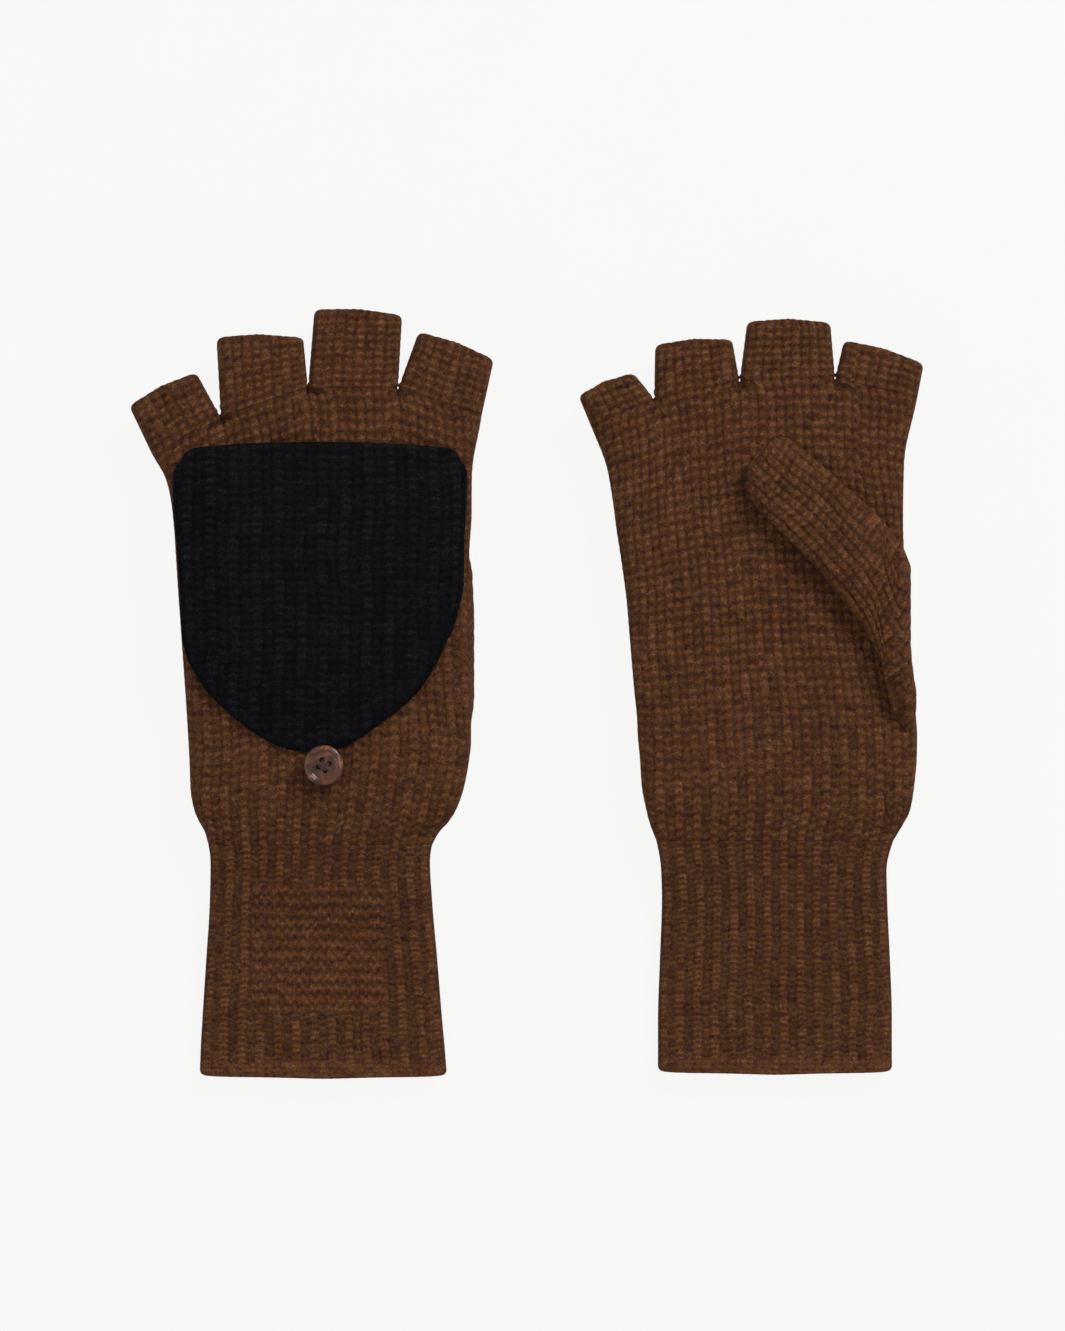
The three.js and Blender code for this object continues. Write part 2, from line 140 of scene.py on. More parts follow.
CROTCHES = {
    "left": [(-53.2, 193.1), (-31.8, 204.3), (-4.8, 213.6), (23.1, 213.3), (49.1, 205.2)],
    "right": [(-57.2, 200.3), (-37.7, 209.2), (-11.2, 214.2), (18.4, 215.1), (43.9, 209.2)],
}
FINGERS = ("little", "ring", "middle", "index")
FINGER_TIPS = {
    "left": [
        ((-60.4, 208.2), (-39.6, 218.6)), ((-33.2, 229.4), (-6.3, 229.4)),
        ((-2.8, 238.1), (24.4, 236.3)), ((29.6, 231.2), (52.9, 222.6)),
    ],
    "right": [
        ((-61.3, 210.2), (-44.4, 217.3)), ((-37.4, 225.9), (-13.6, 227.6)),
        ((-8.8, 233.1), (16.9, 232.8)), ((21.2, 227.3), (46.0, 220.0)),
    ],
}
FINGER_CORNER = 2.1
FINGER_BEND = (0.3, 9.0)    # the stretch of fabric at a finger's root, measured along the finger
BOUND_OFF = (2.2, 0.8)      # the bound-off rim starts and is full this far from the finger's end
FURROW_LENGTH = 34.0        # the crease that runs down from between two fingers
FURROW_STEEP = 5.0
FURROW_DEPTH = 0.26
FURROW_WIDTH = 3.4

# Thumb, folded across the palm; its edges' x is measured from the fold line
THUMB_FOLD = {              # the fold line's lower and upper ends
    "left": ((46.7, 104.0), (46.3, 164.0)),
    "right": ((44.4, 104.0), (41.5, 164.0)),
}
THUMB_OUTLINE = {           # how far out the fold reaches: (y, x)
    "left": [
        (96.0, 45.3), (105.7, 46.4), (113.0, 46.7), (143.0, 46.7), (150.0, 46.4), (158.0, 46.1),
        (170.0, 45.9),
    ],
    "right": [
        (96.0, 43.8), (104.5, 44.4), (112.0, 44.1), (119.4, 43.4), (126.8, 42.3), (134.0, 41.7),
        (157.0, 41.7), (162.0, 41.2), (170.0, 39.8),
    ],
}
THUMB_UPPER = [
    (-4.0, 165.5), (-7.6, 170.6), (-12.2, 175.4), (-19.6, 182.4), (-26.0, 188.2), (-33.0, 194.4),
    (-37.6, 197.0), (-41.0, 196.6), (-43.4, 195.0),
]
THUMB_LOWER = [
    (-4.0, 106.0), (-7.4, 111.5), (-9.6, 118.0), (-10.4, 124.5), (-12.4, 131.0), (-17.2, 139.6),
    (-23.6, 148.3), (-30.0, 156.6), (-38.4, 165.8), (-46.4, 174.2), (-50.2, 180.6), (-50.2, 184.6),
    (-49.0, 188.6),
]
THUMB_LOW_EDGE = 8.0        # the thumb's two edges and its top, from the middle of the hand
THUMB_HIGH_EDGE = 4.1
THUMB_TOP = 11.4
THUMB_UNDER = 4.7
THUMB_SETTLED = 3.1         # where the thumb's edges meet the fold
THUMB_EDGE = 6.0
THUMB_BACK = 6.0            # how far the fold rounds off on the back of the hand
THUMB_LEAD = 4.0            # beyond that its fabric sinks into the hand's
THUMB_SUNK = 1.0
THUMB_OVER = 0.3
THUMB_END = (9.0, 13.0)     # the fold's upper and lower ends sink in over this length
THUMB_SIDE_WALE = 5.85      # ribs on the fold's outside run up and down, as the hand's do
THUMB_SIDE_COURSE = 2.98
THUMB_SIDE_START = 67.5
THUMB_WALL = 1.3
THUMB_SEAM = 0.25           # thickness of the fold's fabric where it sinks into the hand
THUMB_DROP = 6.0            # the fold's lower end is drawn down on the back of the hand
THUMB_SETTLE = 8.0          # the thumb's edges settle onto the palm this close to the fold
THUMB_SETTLE_EDGE = 15.0    # and this close to the fold's own two ends
THUMB_FOLD_WIDTH = 56.0     # from the fold's lower end to its upper
THUMB_WIDTH = 34.0          # across the thumb
THUMB_LANE_EDGE = 3.0       # its mesh is finer this close to its edges
THUMB_BEND = ((0.0, 2.4), (-2.5, -6.3))  # the stretch of fabric at the fold starts and ends: x from the fold, rise

# Flap
FLAP_TOP = [
    (-44.8, 190.8), (-42.8, 193.4), (-39.2, 194.9), (-33.0, 195.4), (-20.0, 196.3), (3.0, 196.6),
    (30.0, 195.6), (37.5, 194.9), (41.4, 193.8), (43.4, 191.0),
]
FLAP_LEFT = [
    (-43.4, 134.6), (-43.9, 139.2), (-44.5, 151.6), (-45.4, 166.5), (-46.2, 179.0), (-46.2, 186.5),
    (-44.8, 190.8),
]
FLAP_RIGHT = [
    (38.2, 134.6), (40.5, 139.4), (42.5, 146.6), (43.6, 153.0), (43.8, 166.5), (44.3, 179.0),
    (44.4, 187.0), (43.4, 191.0),
]
FLAP_TIP = [
    (-43.4, 134.6), (-41.9, 129.3), (-39.2, 124.3), (-35.7, 119.3), (-30.9, 114.4), (-25.3, 109.6),
    (-19.0, 105.2), (-12.9, 102.2), (-6.0, 100.9), (0.4, 100.9), (5.1, 102.0), (10.6, 104.7),
    (17.5, 109.4), (24.3, 114.6), (29.3, 119.3), (32.9, 124.3), (35.8, 129.3), (38.2, 134.6),
]
FLAP_CENTRE = np.array([-1.0, 152.0])
FLAP_SIZE = (86.0, 88.0)    # across and along
FLAP_LEAN = {"left": 0.0, "right": -3.9}  # the flap's mouth lies to one side, as its hand leans
FLAP_WIDTH = {"left": 1.0, "right": 0.98}
FLAP_LEAN_Y = (96.7, 179.7)
FLAP_LOW = 4.55             # underside of the flap, above the middle of the hand
FLAP_FULL = 6.9             # thickness in the middle of the flap, both panels and the space between
FLAP_RIM = 3.4              # thickness at its sides
FLAP_CROWN = 15.0           # width over which it rises from its sides
FLAP_TIP_SHARE = 0.27       # of the thickness, under the button
FLAP_TIP_Y = (103.0, 131.0)
FLAP_MOUTH = 196.5
FLAP_PANEL = 2.0
FLAP_PANEL_TIP = 0.44       # of a panel's thickness, at the flap's tip
FLAP_PANEL_EDGE = 1.8
FLAP_INSET = 0.7            # the panels stop this far inside the seam
FLAP_SEAM_RADIUS = 1.25
FLAP_SEAM_STITCH = 2.3
FLAP_ROOT = (195.0, 191.4)  # the fabric at the flap's hinge lies between these
HINGE_SEAM_X = (-37.0, 35.5)
HINGE_SEAM_INSET = 0.9      # below the flap's top edge
HINGE_SEAM_RISE = 4.5
HINGE_STITCH = 3.1

# Button
BUTTON_X = 0.3
BUTTON_Y = 96.7
BUTTON_LIFT = 2.4
BUTTON_PROFILE = [
    (0.0, 0.0), (4.3, 0.0), (5.1, 0.16), (5.75, 0.6), (6.15, 1.1), (6.25, 1.6), (6.12, 2.1),
    (5.8, 2.45), (5.4, 2.6), (5.0, 2.52), (4.7, 2.3), (4.4, 2.03), (4.0, 1.88), (3.2, 1.84), (0.0, 1.9),
]
BUTTON_SEGMENTS = 96
BUTTON_HOLE_RADIUS = 0.76
BUTTON_HOLE_OFFSET = 1.75
BUTTON_TURN = 17.0          # degrees, first hole from the x axis
BUTTON_DRILL = (-1.0, 4.0)  # from below the button to above it
BUTTON_SHARP = 40.0         # edges sharper than this many degrees stay sharp
SHANK_RADIUS = 2.2
SHANK_RANGE = (0.35, 2.15)
THREAD_RADIUS = 0.2
THREAD_SIDES = 8
THREAD_TOP = 2.15           # above the button's underside
LOOP_REACH = 3.2
LOOP_RADIUS = 0.5
LOOP_RISE = 0.72            # above the hand
LOOP_LEG = 8.0              # from the button's middle to the loop's ends

# Floor, light and camera
FLOOR_GLOW = 0.902
FLOOR_HALF = 12.0           # metres
WORLD_GLOW = 0.55
KEY_LIGHT = {"place": (0.92, 1.12, 1.15), "size": 0.7, "power": 26.0}  # metres and watts
FILL_LIGHT = {"place": (-0.9, -0.4, 1.4), "size": 1.2, "power": 6.0}
CAMERA_MIDDLE = (1.55, 8.5)  # middle of the picture
CAMERA_HEIGHT = 2400.0
CAMERA_LEVEL = 12.0         # height that the picture's size is measured at
PICTURE_HEIGHT = 412.6
SENSOR = 36.0

# Shades along a material's ramp: place, then red, green and blue from 0 to 255
BROWN_SHADES = [(0.0, (38, 19, 9)), (0.35, (65, 36, 22)), (0.65, (86, 53, 33)), (1.0, (134, 92, 66))]
BROWN_FLECKS = [(0.3, (44, 20, 16)), (0.44, (72, 41, 37)), (0.56, (94, 64, 12)), (0.7, (106, 60, 70))]
BLACK_SHADES = [(0.0, (4, 4, 5)), (0.35, (11, 11, 12)), (0.65, (18, 18, 20)), (1.0, (42, 41, 45))]
BLACK_FLECKS = [(0.3, (5, 6, 14)), (0.45, (12, 12, 14)), (0.6, (16, 15, 22)), (0.75, (36, 28, 30))]
SHELL_SHADES = [(0.25, (30, 17, 10)), (0.42, (58, 35, 24)), (0.58, (92, 55, 40)), (0.8, (160, 108, 78))]
THREAD_SHADES = [(0.3, (34, 22, 18)), (0.7, (60, 40, 32))]
ELASTIC_SHADES = [(0.3, (14, 12, 12)), (0.7, (34, 30, 30))]


def smoothstep(low, high, value):
    share = np.clip((np.asarray(value, float) - low) / (high - low), 0.0, 1.0)
    return share * share * (3.0 - 2.0 * share)


def within(limits, soft, value):
    """1 between the limits and 0 beyond them, changing over the soft length each way."""
    low, high = limits
    return smoothstep(low - soft, low + soft, value) * (1.0 - smoothstep(high - soft, high + soft, value))


def mix(a, b, share):
    return a + (b - a) * share


def roundness(distance, edge):
    """Height of a quarter-round edge, from 0 at the edge itself to 1."""
    inward = np.clip(np.asarray(distance, float) / edge, 0.0, 1.0)
    return np.sqrt(1.0 - (1.0 - inward) ** 2)


def through(at, values, where):
    """A smooth curve through the given values that doesn't overshoot them."""
    at = np.asarray(at, float)
    values = np.asarray(values, float)
    secant = np.diff(values) / np.diff(at)
    product = secant[:-1] * secant[1:]
    total = np.where(product > 0.0, secant[:-1] + secant[1:], 1.0)
    inner = np.where(product > 0.0, 2.0 * product / total, 0.0)
    slope = np.concatenate([secant[:1], inner, secant[-1:]])
    index = np.clip(np.searchsorted(at, where, side="right") - 1, 0, len(at) - 2)
    step = at[index + 1] - at[index]
    t = (where - at[index]) / step
    start, end = values[index], values[index + 1]
    cubic = (2.0 * t ** 3 - 3.0 * t ** 2 + 1.0) * start + (3.0 * t ** 2 - 2.0 * t ** 3) * end
    tangent = (t ** 3 - 2.0 * t ** 2 + t) * slope[index] + (t ** 3 - t ** 2) * slope[index + 1]
    return cubic + tangent * step


def chord(points):
    return np.concatenate([[0.0], np.cumsum(np.linalg.norm(np.diff(points, axis=0), axis=1))])


def trace(points, places):
    """Points along a smooth curve through the given ones: a number of them, or a list of shares."""
    points = np.array(points, float)
    along = chord(points)
    shares = np.linspace(0.0, 1.0, places) if np.isscalar(places) else places
    where = shares * along[-1]
    return np.stack([through(along, points[:, k], where) for k in range(points.shape[1])], axis=1)


def noise(x, y, width, seed):
    """A soft random field from -1 to 1, its bumps about width across."""
    lattice = np.random.default_rng(seed).uniform(-1.0, 1.0, (LATTICE, LATTICE))
    u = np.asarray(x, float) / width + LATTICE
    v = np.asarray(y, float) / width + LATTICE
    column, row = np.floor(u).astype(int), np.floor(v).astype(int)
    s, t = smoothstep(0.0, 1.0, u - column), smoothstep(0.0, 1.0, v - row)

    def corner(i, j):
        return lattice[(row + j) % LATTICE, (column + i) % LATTICE]

    low = mix(corner(0, 0), corner(1, 0), s)
    high = mix(corner(0, 1), corner(1, 1), s)
    return mix(low, high, t)


def rib_knit(wale, course, purl, even):
    """Height of ribbed knitting, from about 0 in a furrow to 1 on a stitch: a raised column of
    V-shaped stitches and a column of purl bumps in turn, the bumps lower by the share given.
    Where the fabric is stretched, even, every stitch stands out alike."""
    place = np.abs(wale - np.floor(wale) - 0.5) * 2.0
    knit = 1.0 - smoothstep(0.3, 0.78, place)
    leg = np.exp(-(((place - 0.22) / 0.26) ** 2))
    vee = (0.5 + 0.5 * np.cos(2.0 * np.pi * (course + 0.4 * place))) ** 1.3
    between = smoothstep(0.46, 0.84, place)
    bump = (0.5 + 0.5 * np.cos(2.0 * np.pi * (course + 0.5 * (1.0 - even)))) ** 1.4
    raised = 0.2 + 0.2 * leg + 0.54 * vee * (0.6 + 0.4 * leg)
    ribbed = 0.04 + knit * raised + between * purl * (0.22 + 0.78 * bump)
    column = 2.0 * wale + 0.5
    aside = np.abs(column - np.floor(column) - 0.5) * 2.0
    loop = (0.5 + 0.5 * np.cos(2.0 * np.pi * (course + 0.16 * aside))) ** 1.3
    dotted = 0.06 + (1.0 - 0.84 * smoothstep(0.3, 1.0, aside)) * (0.28 + 0.64 * loop)
    return mix(ribbed, dotted, even)


def garter_knit(x, y):
    """Height of the panel of purl stitches on the cuff: wavy ridges across."""
    wave = 0.16 * np.cos(2.0 * np.pi * x / PANEL_STITCH)
    ridge = 0.5 + 0.5 * np.cos(2.0 * np.pi * (y / PANEL_COURSE + wave))
    knot = 0.5 + 0.5 * np.cos(2.0 * np.pi * (2.0 * x / PANEL_STITCH))
    return 0.22 + ridge * (0.36 + 0.38 * knot)


def spread(width, edge, step):
    """Places across a knitted side, from 0 to 1, closer together round its edges."""
    turn = np.linspace(0.0, math.pi / 2.0, EDGE_STEPS + 1)
    near = edge * (1.0 - np.cos(turn))
    count = max(2, round((width - 2.0 * edge) / step))
    flat = np.linspace(edge, width - edge, count + 1)
    return np.concatenate([near[:-1], flat, (width - near[:-1])[::-1]]) / width


def grid_normals(points, closed):
    """Unit normals of a grid of points, rows along and columns across, closed across if asked."""
    if closed:
        across = np.roll(points, -1, axis=1) - np.roll(points, 1, axis=1)
    else:
        across = np.gradient(points, axis=1)
    along = np.gradient(points, axis=0)
    normal = np.cross(across, along)
    return normal / np.maximum(np.linalg.norm(normal, axis=2, keepdims=True), TINY)


def ring_faces(rows, columns, close_rows):
    """Four-sided faces of a grid whose columns close into a ring, and whose rows may."""
    r = np.arange(rows if close_rows else rows - 1)
    c = np.arange(columns)
    row, column = np.meshgrid(r, c, indexing="ij")
    up, side = (row + 1) % rows, (column + 1) % columns
    quads = [row * columns + column, row * columns + side, up * columns + side, up * columns + column]
    return np.stack(quads, axis=-1).reshape(-1, 4)


class Glove:
    """One glove of the pair: where it lies, and which way up."""

    def __init__(self, side, back):
        cuff_low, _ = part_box(f"{side}_rib_cuff")
        button_low, button_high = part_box(f"{side}_button")
        _, hand_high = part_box(f"{side}_hand_body")
        self.side = side
        self.back = back
        self.x = (button_low.x + button_high.x) / 2.0 / MM - BUTTON_X
        self.y = cuff_low.y / MM
        self.middle = hand_high.z / MM - CAD_HALF
        self.seed = 100 if back > 0 else 200

    def centre(self, y):
        return mix(CUFF_REST, self.middle, smoothstep(*DROOP, y))

    def world(self, points):
        """The glove's own millimetres to the millimetres of the pair."""
        points = np.asarray(points, float)
        x = points[..., 0] + self.x
        y = points[..., 1] + self.y
        z = self.centre(points[..., 1]) + self.back * points[..., 2]
        return np.stack([x, y, z], axis=-1)

    def metres(self, *point):
        return tuple(self.world(np.array(point)) * MM)


def new_object(name, points, faces, material):
    """A mesh object from points in metres."""
    mesh = bpy.data.meshes.new(name)
    mesh.from_pydata(points.tolist(), [], [list(map(int, face)) for face in faces])
    mesh.materials.append(material)
    piece = bpy.data.objects.new(name, mesh)
    bpy.context.scene.collection.objects.link(piece)
    return piece


def turned_over(glove, faces):
    """Faces made for a glove with its back up, set right for one that lies on its back."""
    return [face[::-1] for face in faces] if glove.back < 0 else faces


def make_piece(glove, name, points, faces, layer, material):
    """A knitted or braided object from points in the glove's frame. The layer holds each point's
    rib, row and stitch height, and rest its place, both for the material."""
    placed = glove.world(points.reshape(-1, 3))
    piece = new_object(name, placed * MM, turned_over(glove, faces), material)
    piece.data.shade_smooth()
    for attribute, values in (("knit", layer), ("rest", placed)):
        stored = piece.data.attributes.new(attribute, "FLOAT_VECTOR", "POINT")
        stored.data.foreach_set("vector", values.reshape(-1, 3).astype(np.float32).ravel())
    return piece


def both_sides(upper, lower):
    """Upper and lower skins of a flattened tube as one ring of columns."""
    return np.concatenate([upper, lower[:, -2:0:-1]], axis=1)


def rim(outer, lining, outward, steps):
    """Rows that round off a knitted end from its outer face to its lining."""
    centre, half = (outer + lining) / 2.0, (outer - lining) / 2.0
    bulge = np.linalg.norm(half, axis=1, keepdims=True) * outward
    rows = []
    for step in range(1, steps):
        angle = math.pi * step / steps
        rows.append(centre + half * math.cos(angle) + bulge * math.sin(angle))
    return np.array(rows).reshape(-1, outer.shape[0], 3)


def edge_fade(aside):
    """Stitches stand lower where the fabric turns over at a side edge."""
    return mix(0.12, 1.0, smoothstep(0.3, 4.5, aside))


def knitted_tube(outer, mark, rise, open_start, open_end):
    """A flattened knitted tube with a lining, closed into one skin round both its ends. The mark holds
    each point's rib, row and stitch height."""
    normal = grid_normals(outer, closed=True)
    skin = outer + normal * ((mark[..., 2] - 0.5) * rise)[..., None]
    lining = outer - normal * WALL
    side = np.sign(outer[..., 2])
    depth = np.abs(outer[..., 2])
    lining[..., 2] = side * np.clip(side * lining[..., 2], 0.35 * depth, depth)
    picks = list(range(0, len(outer) - 1, LINING_STRIDE)) + [len(outer) - 1]
    lining = lining[picks[::-1]]
    parts, layers = [skin], [mark]

    def flat_mark(rows, height):
        flat = mark[rows].copy()
        flat[..., 2] = height
        return flat

    def end_rim(first, second, outward, row):
        outward = outward / np.maximum(np.linalg.norm(outward, axis=1, keepdims=True), TINY)
        added = rim(first, second, outward, RIM_STEPS)
        parts.append(added)
        layers.append(flat_mark([row] * len(added), 0.6))

    if open_end:
        end_rim(skin[-1], lining[0], outer[-1] - outer[-2], -1)
    parts.append(lining)
    # The lining takes a low stitch height, which the wool material turns into painted shade: the inside of
    # the tube is painted darker.
    layers.append(flat_mark(picks[::-1], 0.2))
    if open_start:
        end_rim(lining[-1], skin[0], outer[0] - outer[1], 0)
    points = np.concatenate(parts)
    return points, np.concatenate(layers), ring_faces(points.shape[0], points.shape[1], close_rows=True)


def knitted_piece(glove, name, skins, marks, rise, material, open_start=False, open_end=False):
    """A piece of tubular knitting from its two skins, their marks and how far the stitches rise."""
    rise = both_sides(rise, rise)
    points, layer, faces = knitted_tube(both_sides(*skins), both_sides(*marks), rise, open_start, open_end)
    return make_piece(glove, name, points, faces, layer, material)


def slab(upper, lower):
    """Two skins that share their border, as one closed mesh: points and faces."""
    rows, columns = upper.shape[:2]
    top = np.arange(rows * columns).reshape(rows, columns)
    under = top.copy()
    inner = (rows - 2) * (columns - 2)
    under[1:-1, 1:-1] = rows * columns + np.arange(inner).reshape(rows - 2, columns - 2)
    points = np.concatenate([upper.reshape(-1, 3), lower[1:-1, 1:-1].reshape(-1, 3)])

    def faces(index):
        quads = [index[:-1, :-1], index[:-1, 1:], index[1:, 1:], index[1:, :-1]]
        return np.stack(quads, axis=-1).reshape(-1, 4)

    return points, np.concatenate([faces(top), faces(under)[:, ::-1]])


def slab_layer(upper, lower):
    return np.concatenate([upper.reshape(-1, 3), lower[1:-1, 1:-1].reshape(-1, 3)])


def edge_at(rows, column, y):
    """One column of an outline's list at the given heights."""
    table = np.array(rows)
    return through(table[:, 0], table[:, column], y)


def side_ribs(points, ribs):
    """Ribs counted from the middle of each row of points, by the length along it."""
    length = np.linalg.norm(np.diff(points, axis=1), axis=2)
    along = np.concatenate([np.zeros((len(points), 1)), np.cumsum(length, axis=1)], axis=1)
    share = along / along[:, -1:]
    return (share - 0.5) * np.asarray(ribs).reshape(-1, 1)


def uneven(wale, course, seed):
    """Small wanderings of ribs and rows, as soft knitting has."""
    wander = 0.1 * noise(wale * 6.0, course * 3.0, 17.0, seed)
    shift = 0.16 * noise(wale * 6.0, course * 3.0, 23.0, seed + 1)
    column = np.floor(wale)
    step = 0.24 * noise(column * 31.0, np.zeros_like(column), 7.0, seed + 2)
    return wale + wander, course + shift + step


def make_cuff(glove, wool):
    """The ribbed cuff, with its plain hem and the panel of purl stitches on its back."""
    rows = SIDES[glove.side]
    y = np.linspace(0.0, CUFF_TOP, round(CUFF_TOP / CUFF_ROW_STEP) + 1)
    left, right = edge_at(rows, 1, y), edge_at(rows, 2, y)
    corner = CUFF_CORNER * (1.0 - roundness(y, CUFF_CORNER))
    left, right = left + corner, right - corner
    width = (right - left)[:, None]
    u = spread(float(width.mean()), SIDE_EDGE, CUFF_STEP)[None, :]
    x = left[:, None] + u * width
    height = HALF * roundness(np.minimum(u, 1.0 - u) * width, SIDE_EDGE)
    y_grid = np.repeat(y[:, None], u.shape[1], axis=1)
    skins, marks = [], []
    for up in (1, -1):
        lift = 0.25 * noise(x, y_grid, 21.0, glove.seed + up) * height / HALF
        skin = np.stack([x, y_grid, up * (height + lift)], axis=-1)
        wale = side_ribs(skin, CUFF_RIBS)
        course = (y_grid - CUFF_TOP) / CUFF_COURSE
        bent_wale, bent_course = uneven(wale, course, glove.seed + 10 + up)
        stitch = rib_knit(bent_wale, bent_course, CUFF_PURL, CUFF_EVEN)
        if up > 0:
            panel = within(PANEL_X, PANEL_SOFT, x) * within(PANEL_Y, PANEL_SOFT, y_grid)
            shifted = y_grid + 0.4 * noise(x, y_grid, 9.0, glove.seed + 5)
            stitch = mix(stitch, garter_knit(x, shifted), panel)
            # The panel's stitches are counted on from 40, to take shades other than the ribs'.
            bent_wale = np.where(panel > 0.5, x / (2.0 * PANEL_STITCH) + 40.0, bent_wale)
            bent_course = np.where(panel > 0.5, shifted / PANEL_COURSE * 2.0, bent_course)
        hem = 0.62 + 0.1 * np.cos(2.0 * np.pi * y_grid / HEM_PITCH) + 0.06 * np.cos(2.0 * np.pi * wale * 2.0)
        stitch = mix(hem, stitch, smoothstep(*CUFF_HEM, y_grid))
        skins.append(skin)
        marks.append(np.stack([bent_wale, bent_course, stitch], axis=-1))
    rise = CUFF_RISE * edge_fade(np.minimum(u, 1.0 - u) * width)
    piece = knitted_piece(glove, f"{glove.side}_cuff", skins, marks, rise, wool, open_start=True)
    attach(piece, f"{glove.side}_glove")
    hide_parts(f"{glove.side}_rib_cuff")


def side_path(glove, column, end):
    """The hand's side edge as points (x, y), from the wrist to its end at a finger's root."""
    rows = [(row[column], row[0]) for row in SIDES[glove.side] if row[0] >= CUFF_TOP]
    return rows + [end]


def furrowed(height, crotches, u, width, below, total):
    """The hand's height with the creases that run down it from between the fingers."""
    for crotch in crotches:
        aside = np.abs(u[None] - crotch) * width
        steep = 1.0 - smoothstep(0.0, FURROW_STEEP, below)
        fading = FURROW_DEPTH * (1.0 - smoothstep(0.0, FURROW_LENGTH, below))
        opening = mix(FURROW_WIDTH, FINGER_EDGE * width / total, steep)
        gentle = smoothstep(0.0, 1.5, aside / opening)
        soft = mix(roundness(aside, opening), gentle, smoothstep(0.0, 1.6, below))
        height = height * (1.0 - np.maximum(steep, fading) * (1.0 - soft))
    return height


def make_hand(glove, wool):
    """The hand, up to the roots of the fingers. Returns its last row, which the fingers go on from, and
    the columns where one finger ends and the next starts."""
    base = np.array(CROTCHES[glove.side])
    lengths = np.linalg.norm(np.diff(base, axis=0), axis=1)
    starts = np.concatenate([[0.0], np.cumsum(lengths)])
    places, cuts = [0.0], [0]
    for start, length in zip(starts, lengths):
        places.extend(start + length * spread(length, FINGER_EDGE, HAND_STEP)[1:])
        cuts.append(len(places) - 1)
    total = starts[-1]
    u = np.array(places) / total
    left = side_path(glove, 1, tuple(base[0]))
    right = side_path(glove, 2, tuple(base[-1]))
    reach = (chord(np.array(left))[-1] + chord(np.array(right))[-1]) / 2.0
    count = round((reach + HAND_ARCH) / HAND_ROW_STEP) + 1
    left, right = trace(left, count)[:, None], trace(right, count)[:, None]
    v = np.linspace(0.0, 1.0, count)[:, None]
    top = np.stack([np.interp(u * total, starts, base[:, k]) for k in (0, 1)], axis=-1)
    straight = base[0] + (base[-1] - base[0]) * u[:, None]
    plan = mix(left, right, u[None, :, None]) + (top - straight)[None] * (v ** 2)[..., None]
    width = np.linalg.norm(right - left, axis=2)
    edge = mix(SIDE_EDGE, FINGER_EDGE, smoothstep(0.82, 1.0, v))
    height = HALF * roundness(np.minimum(u, 1.0 - u)[None] * width, edge)
    height = furrowed(height, starts[1:-1] / total, u, width, (1.0 - v) * reach, total)
    skins, marks = [], []
    ribs = through(*zip(*HAND_RIBS), v[:, 0])
    for up in (1, -1):
        swell = 0.35 * noise(plan[..., 0], plan[..., 1], 27.0, glove.seed + 20 + up)
        swell = swell * smoothstep(0.0, 0.06, v) * (1.0 - smoothstep(0.9, 1.0, v))
        skin = np.concatenate([plan, (up * (height + swell * height / HALF))[..., None]], axis=-1)
        wale = side_ribs(skin, ribs)
        course = v * (reach / HAND_COURSE) * np.ones_like(wale)
        bent_wale, bent_course = uneven(wale, course, glove.seed + 30 + up)
        even = mix(*HAND_EVEN, smoothstep(0.0, 0.6, v))
        stitch = rib_knit(bent_wale, bent_course, mix(*HAND_PURL, v), even)
        skins.append(skin)
        marks.append(np.stack([bent_wale, bent_course, stitch], axis=-1))
    rise = STITCH_RISE * edge_fade(np.minimum(u, 1.0 - u)[None] * width)
    piece = knitted_piece(glove, f"{glove.side}_hand", skins, marks, rise, wool)
    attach(piece, f"{glove.side}_glove")
    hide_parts(f"{glove.side}_hand_body")
    return [(skins[k][-1], marks[k][-1]) for k in (0, 1)], cuts


